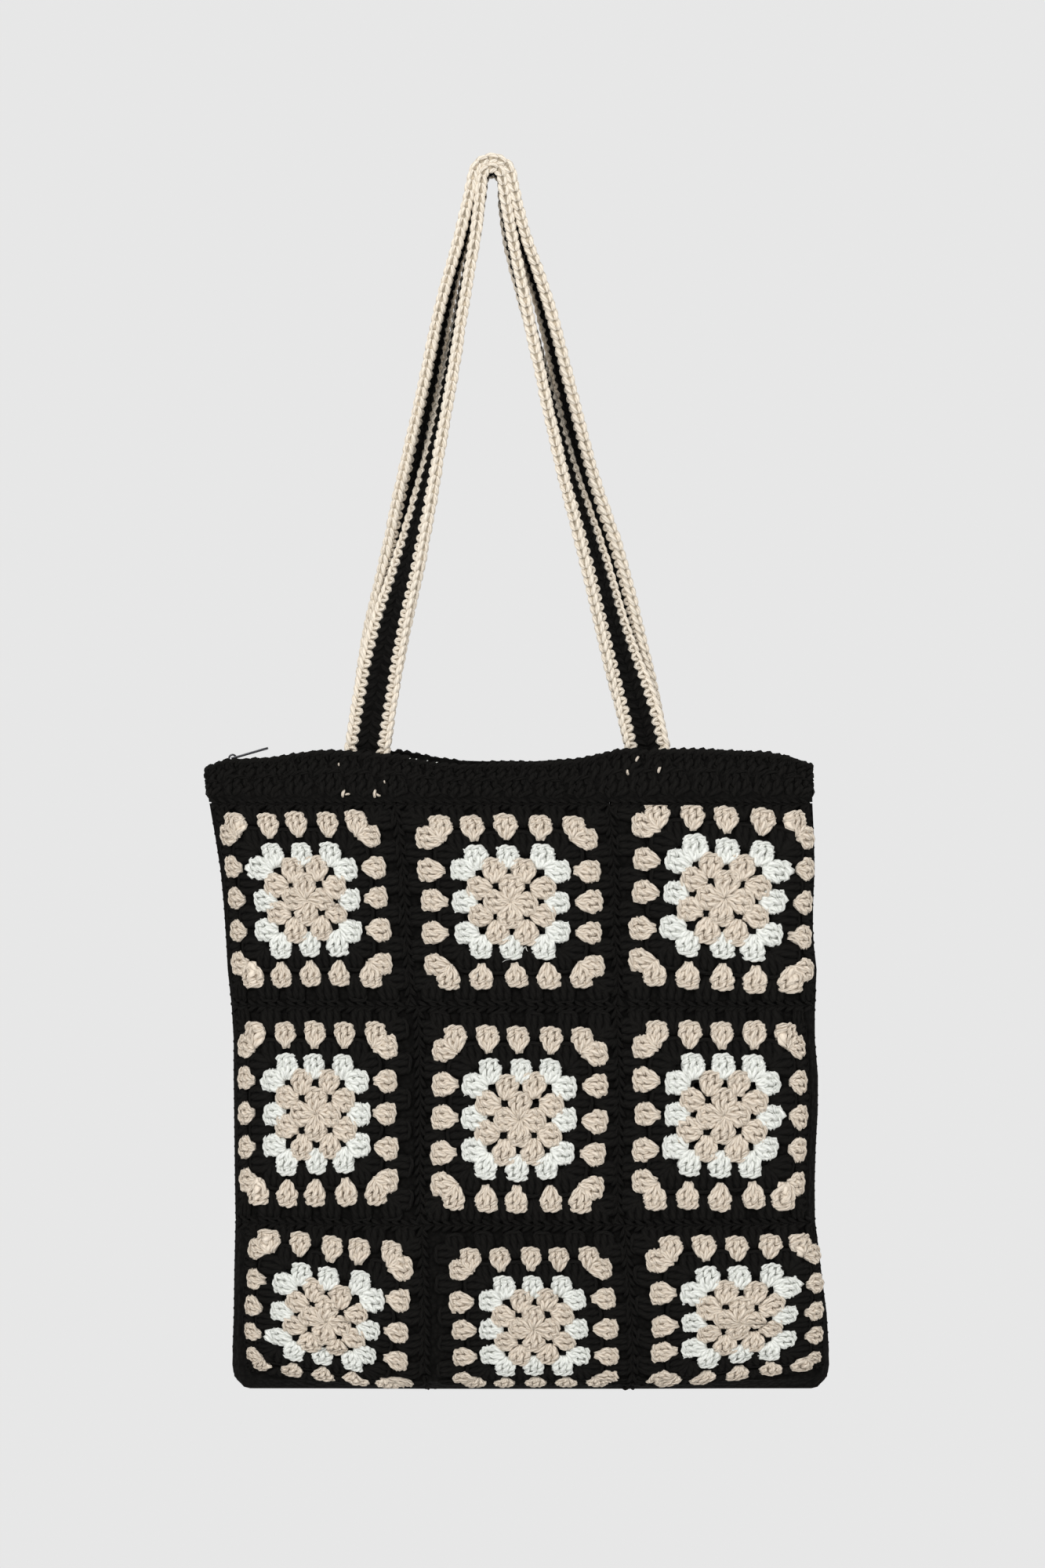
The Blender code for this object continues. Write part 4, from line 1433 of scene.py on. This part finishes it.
@dataclass
class Joins:
    """The raised joins: between squares, and along the sides and bottom."""

    pitch: float = 0.0056
    outer_inset: float = 0.0015

    def ridge_stitch(self) -> StitchForm:
        """One pair of leaning loops of a flat join."""
        work = Stitch()
        for leg in (-1, 1):
            path = [(leg * 3.3, -1.2, -0.9), (leg * 1.7, 1.0, 0.5), (leg * 0.3, 4.2, 0.0)]
            work.strand(path, [1.0, 1.3, 0.9], 4, 3)
        work.strand([(0.0, -0.5, -1.2), (0.0, 6.1, -1.2)], [1.7, 1.7], 4, 1)
        return work.finish()

    def bead_stitch(self) -> StitchForm:
        """One knob of the join along the sides and bottom."""
        work = Stitch()
        for face in (-1, 1):
            path = [(0.2, -1.0, face * 0.4), (-0.9, 1.2, face * 2.6), (0.4, 4.0, face * 3.9), (2.2, 5.2, face * 3.2)]
            work.strand(path, [1.0, 1.5, 1.35, 1.0], 4, 4)
        work.strand([(-1.4, -1.8, -1.2), (-3.3, 1.2, 0.0), (-1.4, 4.4, 1.2)], [0.9, 1.65, 0.9], 5, 4)
        return work.finish()

    def side_line(self) -> Ribbon:
        """Middle line of the side and bottom join, from the CAD bead.

        Returns:
            The ribbon from the top left corner round to the top right.
        """
        low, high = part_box("edge_seam")
        tree = node_tree("edge_seam")
        radius = (high.y - low.y) / 2
        spots = []
        heights = np.linspace(high.z - 0.0005, low.z + 0.02, 40)
        for side, order in ((-1, heights), (1, heights[::-1])):
            start = (low.x if side < 0 else high.x) + side * 0.05
            run = []
            for z in order:
                spot = tree.ray_cast(Vector((start, 0.0, z)), Vector((-side, 0, 0)))[0]
                run.append(Vector((spot.x - side * radius, 0.0, z)))
            if side < 0:
                spots += run
                for x in np.linspace(run[-1].x + 0.016, high.x - 0.024, 50):
                    spot = tree.ray_cast(Vector((x, 0.0, low.z - 0.05)), Vector((0, 0, 1)))[0]
                    spots.append(Vector((x, 0.0, spot.z + radius)))
            else:
                spots += run
        line = even_rows(np.array(spots), 260)
        along = np.gradient(line, axis=0)
        along /= np.linalg.norm(along, axis=1, keepdims=True)
        inward = np.cross(along, np.array((0.0, 1.0, 0.0)))
        return Ribbon(line, inward)

    def build(self, finishes: Finishes, surfaces: dict[str, Surface]) -> None:
        """Work the joins.

        Args:
            finishes: the bag's materials.
            surfaces: the squares' surfaces by node.
        """
        black = finishes.yarns[Yarn.BLACK]
        ribbon = self.side_line()
        work = Work()
        bead = self.bead_stitch()
        count = int(ribbon.length / self.pitch)
        for place in range(count):
            flat = place_stitch(bead, 0.0, place * ribbon.length / count, 0.0, (1.0, 1.0, 1.0))
            work.add(bead, ribbon.lay(flat))
        piece = work.piece("edge_seam_stitches", black)
        ground = copy_node("edge_seam", "edge_seam_ground")
        ground.data.materials.append(finishes.black_ground)
        for made in (piece, ground):
            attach(made, "bag")
            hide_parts("edge_seam")
        for side in Side:
            self.flat_joins(side, surfaces, black)

    def flat_joins(self, side: Side, surfaces: dict[str, Surface], finish: bpy.types.Material) -> None:
        """Work the ridges between the squares of one face."""
        work = Work()
        ridge = self.ridge_stitch()
        face = side.name.lower()
        order = (1, 2, 3) if side is Side.FRONT else (3, 2, 1)
        for row in (1, 2, 3):
            for col in order[:2]:
                grid = surfaces[f"{face}_square_r{row}_c{col}"]
                ends = (self.outer_inset if row == 3 else 0.0, 0.0)
                self.run_ridge(work, ridge, (grid.points[:, -1], grid.normals[:, -2]), ends)
        for row in (1, 2, 3):
            for col in order:
                grid = surfaces[f"{face}_square_r{row}_c{col}"]
                ends = (self.outer_inset * (col == order[0]), self.outer_inset * (col == order[-1]))
                self.run_ridge(work, ridge, (grid.points[-1], grid.normals[-2]), ends)
        piece = work.piece(f"{face}_joins", finish)
        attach(piece, "bag")

    def run_ridge(
        self, work: Work, ridge: StitchForm, track: tuple[np.ndarray, np.ndarray], ends: tuple[float, float]
    ) -> None:
        """Lay a ridge along a line of the surface.

        Args:
            work: the piece to add to.
            ridge: its stitch.
            track: the line's points and the ways out.
            ends: how far it stays from the line's start and end.
        """
        line, outs = track
        ribbon = Ribbon(line, np.cross(np.gradient(line, axis=0), outs))
        if ribbon.outs[len(line) // 2] @ outs[len(line) // 2] < 0:
            ribbon = Ribbon(line, -ribbon.acrosses)
        reach = ribbon.length - sum(ends)
        count = max(int(reach / self.pitch), 1)
        for place in range(count):
            along = ends[0] + place * reach / count
            work.add(ridge, ribbon.lay(place_stitch(ridge, 0.0, along, 0.0, (1.0, 1.0, 1.0))))


@dataclass(frozen=True)
class LooseEnd:
    """A short end of yarn or thread seen on the front, in millimetres in the front view."""

    x: float
    z: float
    length: float
    turn: float
    radius: float = 0.5


SPECKS = (
    LooseEnd(-86.9, -365.3, 4.0, 75, 1.0),
    LooseEnd(-84.6, -365.8, 2.6, 10, 0.8),
    LooseEnd(-68.4, -365.3, 4.4, 85, 1.0),
    LooseEnd(-66.6, -366.0, 2.4, 150, 0.8),
    LooseEnd(85.1, -345.0, 3.2, 60, 0.9),
    LooseEnd(79.5, -352.8, 2.8, 100, 0.9),
    LooseEnd(98.0, -351.4, 3.4, 70, 1.0),
    LooseEnd(-89.7, -348.2, 1.6, 90, 0.6),
    LooseEnd(-62.9, -358.4, 1.6, 100, 0.6),
)
THREADS = (
    LooseEnd(-48.1, -344.8, 0.9, 20, 0.28),
    LooseEnd(-44.4, -345.2, 1.0, 10, 0.32),
    LooseEnd(-37.9, -346.1, 0.9, 30, 0.30),
    LooseEnd(-32.4, -347.2, 1.3, 15, 0.28),
)
WISPS = (
    LooseEnd(18.5, -456.6, 4.2, 65, 0.35),
    LooseEnd(20.3, -456.0, 3.0, 110, 0.3),
    LooseEnd(8.3, -463.0, 4.6, 20, 0.22),
    LooseEnd(-8.3, -471.5, 2.6, 80, 0.3),
    LooseEnd(153.5, -530.8, 4.0, 40, 0.25),
    LooseEnd(100.3, -660.3, 4.2, 120, 0.28),
    LooseEnd(-140.1, -669.6, 4.4, 70, 0.28),
)


@dataclass
class LooseEnds:
    """The cream strap ends seen through the band, the zip's sewing thread and stray wisps."""

    lift: float = 0.0016

    def build(self, finishes: Finishes) -> None:
        """Lay the ends on the front.

        Args:
            finishes: the bag's materials.
        """
        for name, ends, yarn, nodes in (
            ("strap_end_specks", SPECKS, Yarn.CREAM, ("top_band",)),
            ("zip_thread", THREADS, Yarn.WHITE, ("top_band",)),
            ("yarn_wisps", WISPS, Yarn.WHITE, tuple(f"front_square_r{r}_c{c}" for r in (1, 2, 3) for c in (1, 2, 3))),
        ):
            trees = [node_tree(node) for node in nodes]
            work = Work()
            for end in ends:
                self.lay(work, end, trees)
            piece = work.piece(name, finishes.yarns[yarn])
            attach(piece, "bag")

    def lay(self, work: Work, end: LooseEnd, trees: list[BVHTree]) -> None:
        """Lay one end where it shows, on the surface behind it.

        Args:
            work: the piece to add to.
            end: the end.
            trees: the nodes that it may lie on.
        """
        stitch = Stitch(0.15)
        half, bow = end.length / 2, end.length * 0.12
        stitch.strand(
            [(-half, 0.0, -0.7), (0.0, bow, end.radius * 0.7), (half, 0.0, -0.5)],
            [end.radius * 0.7, end.radius, end.radius * 0.6],
            5,
            4,
        )
        form = stitch.finish()
        start = Vector((end.x * MM, -0.2, end.z * MM))
        hits = [tree.ray_cast(start, Vector((0, 1, 0)))[0] for tree in trees]
        depth = min(spot.y for spot in hits if spot is not None)
        flat = place_stitch(form, start.x, start.z, math.radians(end.turn), (1.0, 1.0, 1.0))
        work.add(form, np.stack([flat[:, 0], depth - self.lift - flat[:, 2], flat[:, 1]], axis=1)[:, [0, 1, 2]])


@dataclass
class ZipWork:
    """The closed zip: woven tape, coil, slider and pull."""

    tooth_pitch: float = 0.0014
    bevel: float = 0.0002

    def build(self, finishes: Finishes) -> None:
        """Dress the zip.

        Args:
            finishes: the bag's materials.
        """
        for node in ("zip_tape_front", "zip_tape_back"):
            tape = self.softened(node, f"{node}_cloth", 0.00025, finishes.tape)
            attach(tape, "bag")
            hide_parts(node)
        coil = self.coil(finishes.teeth)
        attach(coil, "bag")
        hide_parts("zip_chain")
        for node, body in (("zip_slider", "bag"), ("zip_pull", "pull")):
            piece = self.softened(node, f"{node}_plated", self.bevel, finishes.metal)
            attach(piece, body)
            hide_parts(node)

    def softened(self, node: str, name: str, width: float, finish: bpy.types.Material) -> bpy.types.Object:
        """Copy a hard node with its edges rounded.

        Args:
            node: the CAD node.
            name: the new piece's name.
            width: how far the rounding reaches.
            finish: its material.

        Returns:
            The new object.
        """
        made = copy_node(node, name)
        form = bmesh.new()
        form.from_mesh(made.data)
        bmesh.ops.dissolve_limit(form, angle_limit=math.radians(4), verts=form.verts, edges=form.edges)
        sharp = [edge for edge in form.edges if edge.is_manifold and edge.calc_face_angle() > math.radians(40)]
        bmesh.ops.bevel(
            form, geom=sharp, offset=width, affect="EDGES", segments=2, profile=0.5, material=-1, clamp_overlap=True
        )
        form.to_mesh(made.data)
        form.free()
        made.data.materials.append(finish)
        made.data.shade_smooth()
        made.data.set_sharp_from_angle(angle=math.radians(50))
        return made

    def coil(self, finish: bpy.types.Material) -> bpy.types.Object:
        """Make the coil of small loops along the closed chain."""
        low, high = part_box("zip_chain")
        tree = node_tree("zip_chain")
        work = Work()
        stitch = Stitch()
        for side in (-1, 1):
            path = [(side * 1.75, -0.25, 0.0), (side * 1.0, 0.0, 1.15), (-side * 0.55, 0.25, 0.75), (-side * 0.7, 0.3, -0.4)]
            stitch.strand(path, [0.30, 0.36, 0.38, 0.3], 4, 4)
        tooth = stitch.finish()
        count = int((high.x - low.x) / self.tooth_pitch)
        spots = []
        for place in range(count + 1):
            x = low.x + 0.0002 + (high.x - low.x - 0.0004) * place / count
            top = tree.ray_cast(Vector((x, 0.0005, high.z + 0.02)), Vector((0, 0, -1)))[0]
            bottom = tree.ray_cast(Vector((x, 0.0005, low.z - 0.02)), Vector((0, 0, 1)))[0]
            spots.append(Vector((x, 0.0, (top.z + bottom.z) / 2)))
        ribbon = Ribbon(np.array(spots), np.tile((0.0, -1.0, 0.0), (len(spots), 1)))
        if ribbon.outs[0][2] < 0:
            ribbon = Ribbon(np.array(spots), np.tile((0.0, 1.0, 0.0), (len(spots), 1)))
        for place in range(count):
            flat = place_stitch(tooth, 0.0, (place + 0.5) * ribbon.length / count, 0.0, (1.0, 1.0, 1.0))
            work.add(tooth, ribbon.lay(flat))
        return work.piece("zip_coil", finish)


# Stage


@dataclass
class Stage:
    """Pale floor, soft lights and the camera at the photograph's angle."""

    distance: float = 2.4
    frame_height: float = 0.9248
    middle_x: float = 0.0178
    middle_z: float = -0.3597
    floor_z: float = -1.9
    floor_radius: float = 5.0

    def build(self) -> None:
        """Set the stage."""
        self.backdrop()
        self.lights()
        self.camera()

    def backdrop(self) -> None:
        """Make the pale floor, well below the hanging bag."""
        form = bmesh.new()
        bmesh.ops.create_circle(
            form, cap_ends=True, segments=96, radius=self.floor_radius, matrix=Matrix.Translation((0, 0, self.floor_z))
        )
        mesh = bpy.data.meshes.new("floor")
        form.to_mesh(mesh)
        form.free()
        mesh.shade_smooth()
        finish = bpy.data.materials.new("pale_floor")
        finish.use_nodes = True
        shader = finish.node_tree.nodes["Principled BSDF"]
        shader.inputs["Base Color"].default_value = (0.80, 0.80, 0.80, 1.0)
        shader.inputs["Roughness"].default_value = 1.0
        shader.inputs["Specular IOR Level"].default_value = 0.0
        mesh.materials.append(finish)
        floor = bpy.data.objects.new("floor", mesh)
        bpy.context.scene.collection.objects.link(floor)
        floor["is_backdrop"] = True

    def lights(self) -> None:
        """Add a soft key, a fill and the room's own light."""
        world = bpy.data.worlds.new("soft_room")
        world.use_nodes = True
        back = world.node_tree.nodes["Background"]
        back.inputs["Color"].default_value = (0.80, 0.80, 0.80, 1.0)
        back.inputs["Strength"].default_value = 1.0
        bpy.context.scene.world = world
        for name, place, size, power in (
            ("key", (-1.0, -2.1, 0.9), 1.2, 32.0),
            ("fill", (1.6, -2.0, -0.1), 1.8, 10.0),
        ):
            light = bpy.data.lights.new(name, "AREA")
            light.shape = "DISK"
            light.size = size
            light.energy = power
            lamp = bpy.data.objects.new(name, light)
            lamp.location = place
            aim = Vector((self.middle_x, 0.0, self.middle_z)) - Vector(place)
            lamp.rotation_euler = aim.to_track_quat("-Z", "Y").to_euler()
            bpy.context.scene.collection.objects.link(lamp)

    def camera(self) -> None:
        """Add the camera, level and square to the bag."""
        data = bpy.data.cameras.new("camera")
        data.sensor_width = 36.0
        data.lens = 36.0 * self.distance / self.frame_height
        data.clip_end = 50.0
        camera = bpy.data.objects.new("camera", data)
        camera.location = (self.middle_x, -self.distance, self.middle_z)
        camera.rotation_euler = (math.pi / 2, 0.0, 0.0)
        bpy.context.scene.collection.objects.link(camera)
        bpy.context.scene.camera = camera
        bpy.context.scene.view_settings.view_transform = "Standard"


def main() -> None:
    """Build every sub-assembly in order and report each piece."""
    logging.basicConfig(level=logging.INFO, format="%(message)s")
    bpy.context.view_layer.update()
    finishes = Finishes()
    Stage().build()
    body = Body()
    body.build(finishes)
    for name in ("front_strap", "back_strap"):
        Strap(name).build(finishes)
    TopBand().build(finishes)
    Joins().build(finishes, body.surfaces)
    LooseEnds().build(finishes)
    ZipWork().build(finishes)
    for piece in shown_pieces():
        LOG.info("%s: %d faces", piece.name, len(piece.data.polygons))


if __name__ == "__main__":
    main()
